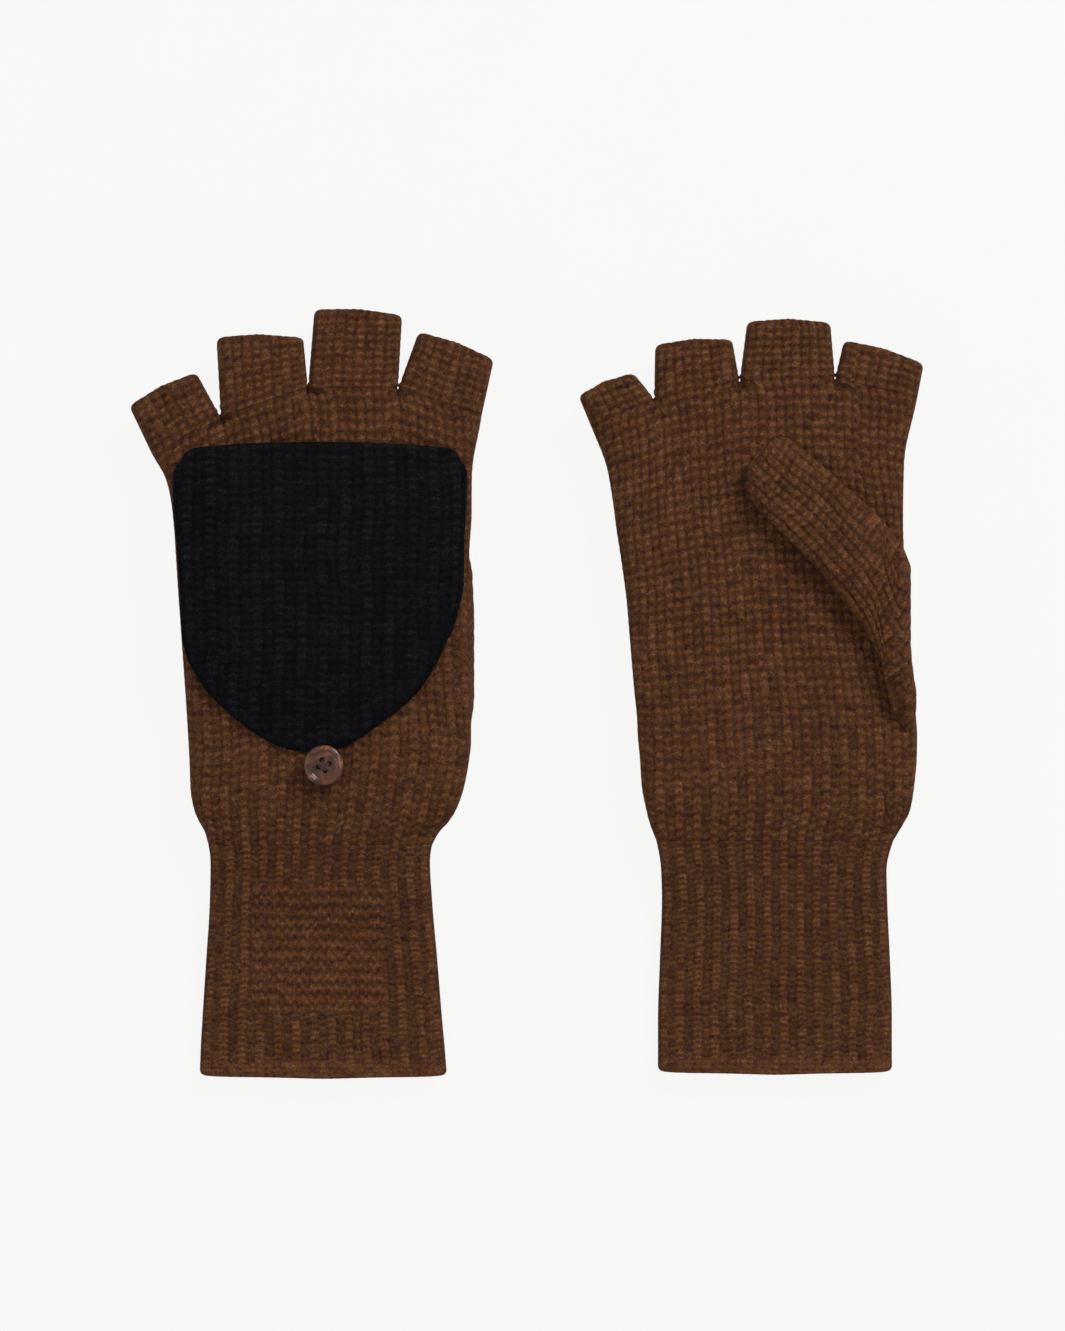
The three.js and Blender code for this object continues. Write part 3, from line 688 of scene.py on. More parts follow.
def make_finger(glove, index, last_row, cuts, wool):
    """One open finger, knitted on from the hand's last row, so that the two meet without a step."""
    columns = slice(cuts[index], cuts[index + 1] + 1)
    root_left, root_right = np.array(CROTCHES[glove.side][index:index + 2])
    tip_left, tip_right = (np.array(point) for point in FINGER_TIPS[glove.side][index])
    root_middle, tip_middle = (root_left + root_right) / 2.0, (tip_left + tip_right) / 2.0
    length = np.linalg.norm(tip_middle - root_middle)
    v = np.linspace(0.0, 1.0, round(length / FINGER_ROW_STEP) + 1)[:, None]
    rim_start, rim_full = (length - distance for distance in BOUND_OFF)
    skins, marks = [], []
    for up, (root, mark) in zip((1, -1), last_row):
        root, mark = root[columns], mark[columns]
        share = np.linalg.norm(root[:, :2] - root_left, axis=1) / np.linalg.norm(root_right - root_left)
        tip = tip_left + (tip_right - tip_left) * share[:, None]
        plan = mix(root[None, :, :2], tip[None], v[..., None])
        width = np.linalg.norm(plan[:, -1] - plan[:, 0], axis=1)[:, None]
        inset = FINGER_CORNER * (1.0 - roundness((1.0 - v) * length, FINGER_CORNER))
        centre = (plan[:, :1] + plan[:, -1:]) / 2.0
        plan = centre + (plan - centre) * (1.0 - 2.0 * inset / width)[..., None]
        aside = np.minimum(share, 1.0 - share)[None] * width
        bow = 0.25 * noise(plan[..., 0], plan[..., 1], 13.0, glove.seed + 40 + up) * smoothstep(0.0, 0.3, v)
        height = HALF * roundness(aside, FINGER_EDGE) * (1.0 - 0.05 * v) * (1.0 + bow / HALF)
        skin = np.concatenate([plan, (up * height)[..., None]], axis=-1)
        wale = np.repeat(mark[None, :, 0], len(v), axis=0)
        course = mark[None, :, 1] + v * length / FINGER_COURSE
        stitch = rib_knit(wale, course, HAND_PURL[1], HAND_EVEN[1])
        bound_off = 0.5 + 0.16 * np.cos(4.0 * np.pi * wale)
        stitch = mix(stitch, bound_off, smoothstep(rim_start, rim_full, v * length))
        skins.append(skin)
        marks.append(np.stack([wale, course, stitch], axis=-1))
    at_crotch = np.where(share < 0.5, float(index > 0), float(index < len(FINGERS) - 1))[None]
    fade = mix(edge_fade(aside), 1.0, at_crotch * (1.0 - smoothstep(0.0, 5.0, v * length)))
    name = FINGERS[index]
    rise = STITCH_RISE * fade
    piece = knitted_piece(glove, f"{glove.side}_{name}_knit", skins, marks, rise, wool, open_end=True)
    axis = (tip_middle - root_middle) / length
    start, end = (glove.metres(*(root_middle + axis * distance), 0.0) for distance in FINGER_BEND)
    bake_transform(piece)
    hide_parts(f"{glove.side}_{name}_finger")


def distance_to(points, line):
    """Distance in plan from each point to a line of points."""
    nearest = np.full(points.shape[:-1], np.inf)
    for start, end in zip(line[:-1], line[1:]):
        step = end - start
        share = np.clip(((points - start) @ step) / max(step @ step, TINY), 0.0, 1.0)
        nearest = np.minimum(nearest, np.linalg.norm(points - start - share[..., None] * step, axis=-1))
    return nearest


def thumb_plan(glove):
    """Where the folded thumb lies on the palm: rows from the fold to its tip, columns from its lower
    edge to its upper one. Also each column's share of the width, and the distance from the edges."""
    (low_x, low_y), (high_x, high_y) = THUMB_FOLD[glove.side]

    def from_fold(points):
        fold = mix(low_x, high_x, (points[:, 1] - low_y) / (high_y - low_y))
        fold = np.clip(fold, min(low_x, high_x) - 1.5, max(low_x, high_x))
        return np.stack([points[:, 0] + fold, points[:, 1]], axis=1)

    length = (chord(np.array(THUMB_LOWER))[-1] + chord(np.array(THUMB_UPPER))[-1]) / 2.0
    tip = 1.0 - THUMB_EDGE * (1.0 - np.sin(np.linspace(0.0, math.pi / 2.0, 14))) / length
    shares = np.concatenate([np.linspace(0.0, tip[0], round(length / THUMB_STEP))[:-1], tip])
    lower_edge = from_fold(trace(THUMB_LOWER, shares))
    upper_edge = from_fold(trace(THUMB_UPPER, shares))
    lane = spread(THUMB_WIDTH, THUMB_LANE_EDGE, THUMB_STEP)
    plan = mix(lower_edge[:, None], upper_edge[:, None], lane[None, :, None])
    border = np.concatenate([lower_edge[::4], lower_edge[-1:], upper_edge[::-4], upper_edge[:1]])
    return plan, lane, distance_to(plan, border)


def thumb_skins(glove, plan, lane, aside):
    """The thumb's top and its underside."""
    from_end = np.minimum(lane * THUMB_FOLD_WIDTH, (1.0 - lane) * THUMB_FOLD_WIDTH)
    at_end = (1.0 - smoothstep(0.0, THUMB_SETTLE_EDGE, from_end))[None]
    at_fold = 1.0 - smoothstep(0.0, THUMB_SETTLE, plan[:1, :, 0] - plan[..., 0])
    edge = mix(THUMB_LOW_EDGE, THUMB_HIGH_EDGE, lane)[None]
    middle = mix(edge, THUMB_SETTLED, at_fold * at_end)
    height = roundness(aside, THUMB_EDGE)
    swell = 0.3 * noise(plan[..., 0], plan[..., 1], 19.0, glove.seed + 60) * height
    top = middle + (THUMB_TOP - edge) * height + swell
    under = middle - np.maximum(edge - THUMB_UNDER, 0.2) * roundness(aside, 0.6 * THUMB_EDGE)
    return [np.concatenate([plan, -depth[..., None]], axis=-1) for depth in (top, under)]


def thumb_fold(glove, plan, lane, palm_high, palm_low):
    """The fabric that leads from the back of the hand, round its side edge, to the thumb. Returns its
    outer and inner skins, how far round each row is, and how full each column stands."""
    full = smoothstep(0.0, THUMB_END[0], (1.0 - lane) * THUMB_FOLD_WIDTH)
    full = full * smoothstep(0.0, THUMB_END[1], lane * THUMB_FOLD_WIDTH)
    first_x, first_y = plan[0, :, 0], plan[0, :, 1]
    hand_edge = edge_at(SIDES[glove.side], 2, first_y)
    fold_x = mix(hand_edge - 0.7, edge_at(THUMB_OUTLINE[glove.side], 1, first_y), full)
    back_top = mix(HALF - THUMB_SUNK, HALF + THUMB_OVER, full)
    lead = np.linspace(0.0, 1.0, 10)[:-1, None]
    turn = np.linspace(-0.5 * math.pi, 0.5 * math.pi, 46)[:-1, None]
    swing = 0.5 + 0.5 * np.sin(turn)
    lead_x = fold_x - THUMB_BACK - THUMB_LEAD * (1.0 - lead)
    lead_rise = mix(HALF - THUMB_SUNK, back_top, smoothstep(0.0, 1.0, lead))
    reach_x = np.where(turn < 0.0, THUMB_BACK, fold_x - first_x)
    outer_x = np.concatenate([lead_x, fold_x - reach_x * (1.0 - np.cos(turn))])
    outer_depth = np.concatenate([-lead_rise, mix(-back_top, palm_high, swing)])
    wall = THUMB_SEAM + THUMB_WALL * (smoothstep(-0.5 * math.pi, -0.3 * math.pi, turn) * full)
    inner_x = np.concatenate([lead_x, fold_x - wall - (reach_x - wall) * (1.0 - np.cos(turn))])
    lead_depth = THUMB_SEAM * np.sin(0.5 * math.pi * lead) - lead_rise
    inner_depth = np.concatenate([lead_depth, mix(THUMB_SEAM - back_top, palm_low, swing)])
    around = np.concatenate([np.zeros_like(lead), swing])
    y = first_y - THUMB_DROP * (1.0 - lane) ** 2 * (1.0 - around)
    outer = np.stack([outer_x, y, -outer_depth], axis=-1)
    inner = np.stack([inner_x, y, -inner_depth], axis=-1)
    inner[0] = outer[0]
    inner[:, 0], inner[:, -1] = outer[:, 0], outer[:, -1]
    return outer, inner, around[:, 0], full


def thumb_stitches(glove, plan, lane, upper, around):
    """Rib, row and stitch height: the thumb's own, and on the outside of the fold the hand's."""
    step = np.linalg.norm(np.diff(upper, axis=0), axis=2)
    nothing = np.zeros((1, step.shape[1]))
    from_tip = np.concatenate([np.cumsum(step[::-1], axis=0)[::-1], nothing])
    from_start = np.concatenate([nothing, np.cumsum(step, axis=0)])
    span = plan[:, -1] - plan[:, 0]
    heading = np.gradient((plan[:, -1] + plan[:, 0]) / 2.0, axis=0)
    heading = heading / np.maximum(np.linalg.norm(heading, axis=1, keepdims=True), TINY)
    girth = np.abs(span[:, 0] * heading[:, 1] - span[:, 1] * heading[:, 0])
    girth = np.concatenate([np.full(len(around), girth[0]), girth])
    wale = (lane[None] - 0.5) * girth[:, None] / THUMB_WALE
    wale, course = uneven(wale, from_tip / THUMB_COURSE, glove.seed + 70)
    stitch = rib_knit(wale, course, HAND_PURL[1], THUMB_EVEN)
    left, right = (edge_at(SIDES[glove.side], column, plan[0, :, 1]) for column in (1, 2))
    side_wale = (upper[:1, :, 0] - (left + right) / 2.0 + from_start) / THUMB_SIDE_WALE
    side_course = (upper[..., 1] - THUMB_SIDE_START) / THUMB_SIDE_COURSE
    side_wale, side_course = uneven(side_wale, side_course, glove.seed + 31)
    side_stitch = rib_knit(side_wale, side_course, HAND_PURL[0], HAND_EVEN[0])
    as_side = np.zeros((len(upper), 1))
    as_side[:len(around), 0] = 1.0 - smoothstep(0.3, 0.44, around)
    stitch = mix(stitch, side_stitch, as_side)
    wale = np.where(as_side > 0.5, side_wale, wale)
    course = np.where(as_side > 0.5, side_course, course)
    return np.stack([wale, course, stitch], axis=-1)


def thumb_fade(plan, aside, around, full):
    """How far the stitches stand out: less round the fold, and least at the thumb's edges."""
    turned = np.sin(math.pi * around)[:, None]
    on_fold = mix(1.0, 0.2, turned) * mix(0.4, 1.0, full[None])
    from_fold = smoothstep(0.0, 5.0, plan[:1, :, 0] - plan[..., 0])
    on_thumb = mix(on_fold[-1], np.clip(aside / 2.5, 0.0, 1.0), from_fold)
    return np.concatenate([on_fold, on_thumb])


def make_thumb(glove, wool):
    """The thumb, a flat closed tube folded over the palm, and the fold round the hand's side edge."""
    plan, lane, aside = thumb_plan(glove)
    top, under = thumb_skins(glove, plan, lane, aside)
    outer, inner, around, full = thumb_fold(glove, plan, lane, -top[0, :, 2], -under[0, :, 2])
    upper, lower = np.concatenate([outer, top]), np.concatenate([inner, under])
    mark = thumb_stitches(glove, plan, lane, upper, around)
    start_fade = np.clip(np.arange(len(upper)) / 3.0, 0.0, 1.0)[:, None]
    lift = (mark[..., 2] - 0.5) * STITCH_RISE * thumb_fade(plan, aside, around, full) * start_fade
    lift[:, [0, -1]] = 0.0
    lift[-1] = 0.0
    under_lift = 0.8 * lift
    under_lift[:len(around)] = 0.0
    upper = upper - grid_normals(upper, closed=False) * lift[..., None]
    lower = lower + grid_normals(lower, closed=False) * under_lift[..., None]
    lower[0], lower[-1] = upper[0], upper[-1]
    points, faces = slab(upper, lower)
    layer = slab_layer(mark, mark)
    piece = make_piece(glove, f"{glove.side}_thumb_knit", points, faces[:, ::-1], layer, wool)
    (low_x, low_y), (high_x, high_y) = THUMB_FOLD[glove.side]
    fold_x, fold_y = mix(high_x, low_x, 0.5), (high_y + low_y) / 2.0
    start, end = (glove.metres(fold_x + x, fold_y, rise) for x, rise in THUMB_BEND)
    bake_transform(piece)
    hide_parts(f"{glove.side}_thumb")


def flap_thickness(aside, y):
    """Thickness of the whole flap at a distance from its sides and at a height."""
    tip = mix(FLAP_TIP_SHARE, 1.0, smoothstep(*FLAP_TIP_Y, y))
    return tip * mix(FLAP_RIM, FLAP_FULL, smoothstep(0.0, FLAP_CROWN, aside))


def flap_plan(columns, rows):
    """A grid over the flap's outline, drawn in towards its seam."""
    u, v = np.linspace(0.0, 1.0, columns)[None, :, None], np.linspace(0.0, 1.0, rows)[:, None, None]
    top, tip = trace(FLAP_TOP, columns)[None], trace(FLAP_TIP, columns)[None]
    left, right = trace(FLAP_LEFT, rows)[:, None], trace(FLAP_RIGHT, rows)[:, None]
    sides = mix(left, right, u) + mix(tip, top, v)
    corners = mix(mix(left[:1], right[:1], u), mix(left[-1:], right[-1:], u), v)
    return sides - corners


def lean(glove, x, y):
    """The flap's x, drawn over to the side that its hand leans to."""
    return x * FLAP_WIDTH[glove.side] + FLAP_LEAN[glove.side] * smoothstep(*FLAP_LEAN_Y, y)


def towards_middle(plan):
    """Directions from points of the flap to its middle."""
    inward = FLAP_CENTRE - plan
    return inward / np.maximum(np.linalg.norm(inward, axis=-1, keepdims=True), TINY)


def make_flap_panel(glove, kind, wool):
    """One of the flap's two panels: the back one is sewn to the hand, the front one isn't."""
    front = kind == "front"
    columns, rows = (round(size / FLAP_STEP) for size in FLAP_SIZE)
    plan = flap_plan(columns, rows)
    sides = np.concatenate([trace(FLAP_LEFT, 40)[::-1], trace(FLAP_TIP, 70), trace(FLAP_RIGHT, 40)])
    outline = np.concatenate([sides, trace(FLAP_TOP, 60)[::-1]])
    aside = distance_to(plan, sides)
    around = distance_to(plan, outline)
    around[[0, -1]] = 0.0
    around[:, [0, -1]] = 0.0
    pulled = FLAP_INSET * (1.0 - smoothstep(0.0, 6.0, aside))
    plan = plan + towards_middle(plan) * pulled[..., None]
    x, y = plan[..., 0], plan[..., 1]
    thickness = flap_thickness(aside, y)
    above_tip = smoothstep(*FLAP_TIP_Y, y)
    tip = mix(FLAP_PANEL_TIP, 1.0, above_tip)
    panel = FLAP_PANEL * tip
    soft = 0.35 * noise(x, y, 24.0, glove.seed + 80) * smoothstep(3.0, 20.0, around) * tip
    if front:
        mouth = smoothstep(0.0, 14.0, FLAP_MOUTH - y)
        middle = FLAP_LOW + thickness * mix(0.86, 1.0, mouth) - panel / 2.0 + soft
    else:
        middle = FLAP_LOW + panel / 2.0
    half = panel / 2.0 * roundness(around, FLAP_PANEL_EDGE)
    wale = x / FLAP_WALE + 0.5
    course = y / FLAP_COURSE
    bent_wale, bent_course = uneven(wale, course, glove.seed + 90)
    stitch = rib_knit(bent_wale, bent_course, FLAP_PURL, FLAP_EVEN)
    fade = np.clip(around / 3.0, 0.0, 1.0)
    if front:
        lift = (stitch - 0.5) * FLAP_RISE * fade * mix(0.5, 1.0, above_tip)
    else:
        lift = (stitch - 0.5) * FLAP_UNDER_RISE * fade
    plan = np.stack([lean(glove, x, y), y], axis=-1)
    upper = np.concatenate([plan, (middle + half + lift)[..., None]], axis=-1)
    lower = np.concatenate([plan, (middle - half)[..., None]], axis=-1)
    points, faces = slab(upper, lower)
    layer = np.stack([bent_wale, bent_course, stitch], axis=-1)
    piece = make_piece(glove, f"{glove.side}_flap_{kind}", points, faces, slab_layer(layer, layer), wool)
    if front:
        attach(piece, f"{glove.side}_flap_body")
    else:
        ends = [
            (f"{glove.side}_glove", glove.metres(0.0, FLAP_ROOT[0], FLAP_LOW)),
            (f"{glove.side}_flap_body", glove.metres(0.0, FLAP_ROOT[1], FLAP_LOW)),
        ]
        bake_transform(piece)
    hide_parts(f"{glove.side}_flap_{kind}_panel")


def swept(path, across, upward, turns, ripple):
    """A round cord along a path. across and upward are its half sizes at each point; ripple adds to both."""
    path = np.asarray(path, float)
    tangent = np.gradient(path, axis=0)
    tangent = tangent / np.linalg.norm(tangent, axis=1, keepdims=True)
    up = np.array([0.0, 0.0, 1.0])
    side = np.cross(tangent, up)
    side = side / np.maximum(np.linalg.norm(side, axis=1, keepdims=True), TINY)
    lift = np.cross(side, tangent)
    angle = np.linspace(0.0, 2.0 * math.pi, turns, endpoint=False)[None, :, None]
    across = np.asarray(across, float).reshape(-1, 1, 1)
    upward = np.asarray(upward, float).reshape(-1, 1, 1)
    wave = ripple(chord(path)[:, None], angle[..., 0])[..., None]
    rings = path[:, None] + side[:, None] * np.cos(angle) * (across + wave)
    rings = rings + lift[:, None] * np.sin(angle) * (upward + wave)
    return rings


def make_cord(glove, name, path, across, upward, turns, ripple, material, pitch, shade=0.6):
    """A cord with closed ends, as a piece. Its stitches or twists are a pitch apart."""
    rings = swept(path, across, upward, turns, ripple)
    rows = len(rings)
    points = np.concatenate([rings.reshape(-1, 3), np.asarray(path)[[0, -1]]])
    faces = ring_faces(rows, turns, close_rows=False)[:, ::-1].tolist()
    first, last = rows * turns, rows * turns + 1
    for k in range(turns):
        following = (k + 1) % turns
        faces.append([k, following, first])
        faces.append([(rows - 1) * turns + following, (rows - 1) * turns + k, last])
    along = chord(np.asarray(path)) / pitch
    layer = np.zeros((rows, turns, 3))
    layer[..., 0] = np.linspace(0.0, 2.0, turns, endpoint=False)[None]
    layer[..., 1] = along[:, None]
    # The shade is a stitch height for the material; low ones come out darker, as painted shade.
    layer[..., 2] = shade
    layer = np.concatenate([layer.reshape(-1, 3), [[0.0, 0.0, shade], [0.0, along[-1], shade]]])
    return make_piece(glove, name, points, faces, layer, material)


def make_flap_seam(glove, wool):
    """The linked seam round the flap's sides and tip."""
    left, tip, right = trace(FLAP_LEFT, 140), trace(FLAP_TIP, 300), trace(FLAP_RIGHT, 140)
    sides = np.concatenate([left[::-1], tip[1:], right[1:]])
    along = chord(sides)
    plan = sides + towards_middle(sides) * FLAP_SEAM_RADIUS
    thickness = flap_thickness(np.zeros(len(sides)), sides[:, 1])
    plan[:, 0] = lean(glove, plan[:, 0], plan[:, 1])
    path = np.concatenate([plan, (FLAP_LOW + thickness / 2.0)[:, None]], axis=1)
    ends = roundness(np.minimum(along, along[-1] - along) + 0.02, 2.0)
    across = FLAP_SEAM_RADIUS * ends
    upward = (thickness / 2.0 + 0.05) * ends

    def stitches(length, angle):
        place = length / FLAP_SEAM_STITCH + angle / (2.0 * math.pi)
        bumps = np.abs(np.sin(np.pi * place)) ** 0.7
        quiet = mix(0.3, 1.0, smoothstep(*FLAP_TIP_Y, sides[:, 1]))[:, None]
        return 0.24 * (bumps - 0.7) * ends[:, None] * quiet

    # The seam takes a low stitch height, which the wool material turns into painted shade along the flap's
    # border.
    piece = make_cord(
        glove, f"{glove.side}_flap_seam", path, across, upward, 20, stitches, wool, FLAP_SEAM_STITCH, 0.2
    )
    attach(piece, f"{glove.side}_flap_body")
    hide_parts(f"{glove.side}_flap_edge_seam")


def make_hinge_seam(glove, wool):
    """Overcast stitches that sew the flap's root to the back of the hand."""
    x = np.linspace(*HINGE_SEAM_X, 500)
    top = trace(FLAP_TOP, 200)
    y = np.interp(x, top[:, 0], top[:, 1]) - HINGE_SEAM_INSET
    phase = 2.0 * math.pi * x / HINGE_STITCH
    x = lean(glove, x, y)
    path = np.stack([x, y + 0.35 * np.sin(phase), HINGE_SEAM_RISE + 0.45 * np.cos(phase)], axis=1)
    along = chord(path)
    ends = roundness(np.minimum(along, along[-1] - along) + 0.01, 0.7)
    size = 0.45 * ends

    def twist(length, angle):
        return 0.06 * np.sin(2.0 * math.pi * length / 1.1 + 2.0 * angle) * ends[:, None]

    piece = make_cord(glove, f"{glove.side}_hinge_stitches", path, size, size, 12, twist, wool, 1.1)
    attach(piece, f"{glove.side}_glove")
    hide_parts(f"{glove.side}_flap_hinge_seam")


def lathe(profile, segments):
    """Points and faces of a turned solid. The profile runs from the axis back to the axis."""
    profile = np.array(profile, float)
    angle = np.linspace(0.0, 2.0 * math.pi, segments, endpoint=False)
    rings = profile[1:-1]
    points = [(0.0, 0.0, profile[0, 1])]
    for radius, height in rings:
        points.extend(zip(radius * np.cos(angle), radius * np.sin(angle), np.full(segments, height)))
    points.append((0.0, 0.0, profile[-1, 1]))
    faces = []
    for ring in range(len(rings)):
        start = 1 + ring * segments
        for k in range(segments):
            a, b = start + k, start + (k + 1) % segments
            if ring == 0:
                faces.append((0, b, a))
            if ring == len(rings) - 1:
                faces.append((len(points) - 1, a, b))
            else:
                faces.append((a, b, b + segments, a + segments))
    return np.array(points), faces


def hole_places():
    turns = [math.radians(BUTTON_TURN + 90.0 * quarter) for quarter in range(4)]
    return [(BUTTON_HOLE_OFFSET * math.cos(t), BUTTON_HOLE_OFFSET * math.sin(t)) for t in turns]


def on_button(glove, points):
    """Points measured from the button's place on the hand, to metres in the pair."""
    points = np.asarray(points, float) + np.array([BUTTON_X, BUTTON_Y, CAD_HALF])
    return glove.world(points) * MM


def make_button(glove, shell):
    """The turned button, with its four holes drilled one after another."""
    profile = trace(BUTTON_PROFILE[1:-1], 44)
    profile = np.concatenate([[BUTTON_PROFILE[0]], profile, [BUTTON_PROFILE[-1]]])
    points, faces = lathe(profile, BUTTON_SEGMENTS)
    points[:, 2] += BUTTON_LIFT
    faces = turned_over(glove, faces)
    piece = new_object(f"{glove.side}_shell_button", on_button(glove, points), faces, shell)
    low, high = BUTTON_DRILL
    hole = [(0.0, low), (BUTTON_HOLE_RADIUS, low), (BUTTON_HOLE_RADIUS, high), (0.0, high)]
    for x, y in hole_places():
        drill, sides = lathe(hole, 24)
        drill = drill + np.array([x, y, BUTTON_LIFT])
        cutter = new_object("drill", on_button(glove, drill), turned_over(glove, sides), shell)
        cut = piece.modifiers.new("hole", "BOOLEAN")
        cut.operation = "DIFFERENCE"
        cut.solver = "EXACT"
        cut.object = cutter
        graph = bpy.context.evaluated_depsgraph_get()
        drilled = bpy.data.meshes.new_from_object(piece.evaluated_get(graph))
        piece.modifiers.clear()
        piece.data = drilled
        bpy.data.objects.remove(cutter)
    piece.data.shade_smooth()
    piece.data.set_sharp_from_angle(angle=math.radians(BUTTON_SHARP))
    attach(piece, f"{glove.side}_glove")
    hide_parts(f"{glove.side}_button")


def thread_strand(first, second, side):
    """Rings of points round one strand, up through one hole of the button and down through another."""
    (x0, y0), (x1, y1) = first, second
    reach = math.hypot(x1 - x0, y1 - y0)
    aside = np.array([-(y1 - y0), x1 - x0, 0.0]) / reach * THREAD_RADIUS
    low, top = BUTTON_LIFT - 0.4, BUTTON_LIFT + THREAD_TOP
    route = [(0.0, low), (0.0, top - 0.55), (0.12, top - 0.12), (0.5, top), (0.88, top - 0.12)]
    route = route + [(1.0, top - 0.55), (1.0, low)]
    path = [(mix(x0, x1, share), mix(y0, y1, share), height) for share, height in route]
    path = trace(path, 60) + aside * side * 0.9
    tangent = np.gradient(path, axis=0)
    tangent = tangent / np.linalg.norm(tangent, axis=1, keepdims=True)
    flat = np.repeat((aside / THREAD_RADIUS)[None], len(path), axis=0)
    normal = np.cross(tangent, flat)
    angle = np.linspace(0.0, 2.0 * math.pi, THREAD_SIDES, endpoint=False)[None, :, None]
    return path[:, None] + THREAD_RADIUS * (flat[:, None] * np.cos(angle) + normal[:, None] * np.sin(angle))


def make_thread(glove, thread):
    """The sewing thread: a wound shank under the button and crossed strands over it."""
    low, high = SHANK_RANGE
    heights = np.linspace(low, high, 60)
    windings = SHANK_RADIUS + 0.16 * np.abs(np.sin(math.pi * heights / 0.5))
    profile = np.concatenate([[(0.0, low)], np.stack([windings, heights], axis=1), [(0.0, high)]])
    points, faces = lathe(profile, 32)
    all_points, all_faces = [points], list(faces)
    start = len(points)
    places = hole_places()
    for first, second in (places[0::2], places[1::2]):
        for side in (-1.0, 1.0):
            rings = thread_strand(first, second, side)
            quads = ring_faces(len(rings), THREAD_SIDES, close_rows=False) + start
            end = start + len(rings) * THREAD_SIDES
            all_points.append(rings.reshape(-1, 3))
            all_faces.extend(map(tuple, quads.tolist()))
            all_faces.append(tuple(range(start + THREAD_SIDES - 1, start - 1, -1)))
            all_faces.append(tuple(range(end - THREAD_SIDES, end)))
            start = end
    points = on_button(glove, np.concatenate(all_points))
    piece = new_object(f"{glove.side}_thread", points, turned_over(glove, all_faces), thread)
    piece.data.shade_smooth()
    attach(piece, f"{glove.side}_glove")
    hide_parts(f"{glove.side}_button_thread")


def make_loop(glove, elastic):
    """The elastic loop at the flap's tip, passed round the button's shank."""
    turn = np.linspace(math.pi, 2.0 * math.pi, 25)
    bend = np.stack([LOOP_REACH * np.cos(turn), LOOP_REACH * np.sin(turn)], axis=1)
    left = np.stack([np.full(8, -LOOP_REACH), np.linspace(LOOP_LEG, 0.3, 8)], axis=1)
    right = np.stack([np.full(8, LOOP_REACH), np.linspace(0.3, LOOP_LEG, 8)], axis=1)
    plan = np.concatenate([left, bend, right]) + np.array([BUTTON_X, BUTTON_Y])
    rise = np.full((len(plan), 1), CAD_HALF + LOOP_RISE)
    path = trace(np.concatenate([plan, rise], axis=1), 120)
    size = np.full(len(path), LOOP_RADIUS)

    def braid(length, angle):
        return 0.07 * np.sin(2.0 * math.pi * length / 1.2 + 2.0 * angle)

    piece = make_cord(glove, f"{glove.side}_elastic_loop", path, size, size, 12, braid, elastic, 0.6)
    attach(piece, f"{glove.side}_flap_body")
    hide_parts(f"{glove.side}_button_loop")


def linear(red, green, blue):
    """An sRGB colour, 0 to 255, as the linear colour that shaders take."""
    made = []
    for value in (red, green, blue):
        share = value / 255.0
        made.append(share / 12.92 if share <= 0.04045 else ((share + 0.055) / 1.055) ** 2.4)
    return (*made, 1.0)


def shades(stops):
    return [(place, linear(*colour)) for place, colour in stops]


class Nodes:
    """Short ways to add and join shader nodes."""

    def __init__(self, name):
        self.material = bpy.data.materials.new(name)
        self.material.use_nodes = True
        self.tree = self.material.node_tree
        self.shader = self.tree.nodes["Principled BSDF"]

    def add(self, kind, inputs=None, **settings):
        node = self.tree.nodes.new(kind)
        for key, value in settings.items():
            setattr(node, key, value)
        for key, value in (inputs or {}).items():
            self.join(value, node.inputs[key])
        return node

    def join(self, value, socket):
        if isinstance(value, bpy.types.NodeSocket):
            self.tree.links.new(value, socket)
        else:
            socket.default_value = value

    def maths(self, operation, *values):
        return self.add("ShaderNodeMath", dict(enumerate(values)), operation=operation).outputs[0]

    def scaled(self, value, from_range, to_range):
        inputs = {"Value": value, "From Min": from_range[0], "From Max": from_range[1]}
        inputs.update({"To Min": to_range[0], "To Max": to_range[1]})
        return self.add("ShaderNodeMapRange", inputs).outputs["Result"]

    def noise(self, vector, scale, detail=2.0, distortion=0.0):
        inputs = {"Vector": vector, "Scale": scale, "Detail": detail, "Distortion": distortion}
        return self.add("ShaderNodeTexNoise", inputs).outputs["Fac"]

    def blend(self, kind, share, first, second):
        node = self.add("ShaderNodeMix", data_type="RGBA", blend_type=kind)
        self.join(share, node.inputs[0])
        self.join(first, node.inputs[6])
        self.join(second, node.inputs[7])
        return node.outputs[2]

    def ramp(self, value, stops):
        node = self.add("ShaderNodeValToRGB", {"Fac": value})
        ramp = node.color_ramp
        while len(ramp.elements) < len(stops):
            ramp.elements.new(0.5)
        for element, (place, colour) in zip(ramp.elements, stops):
            element.position = place
            element.color = colour
        return node.outputs["Color"]


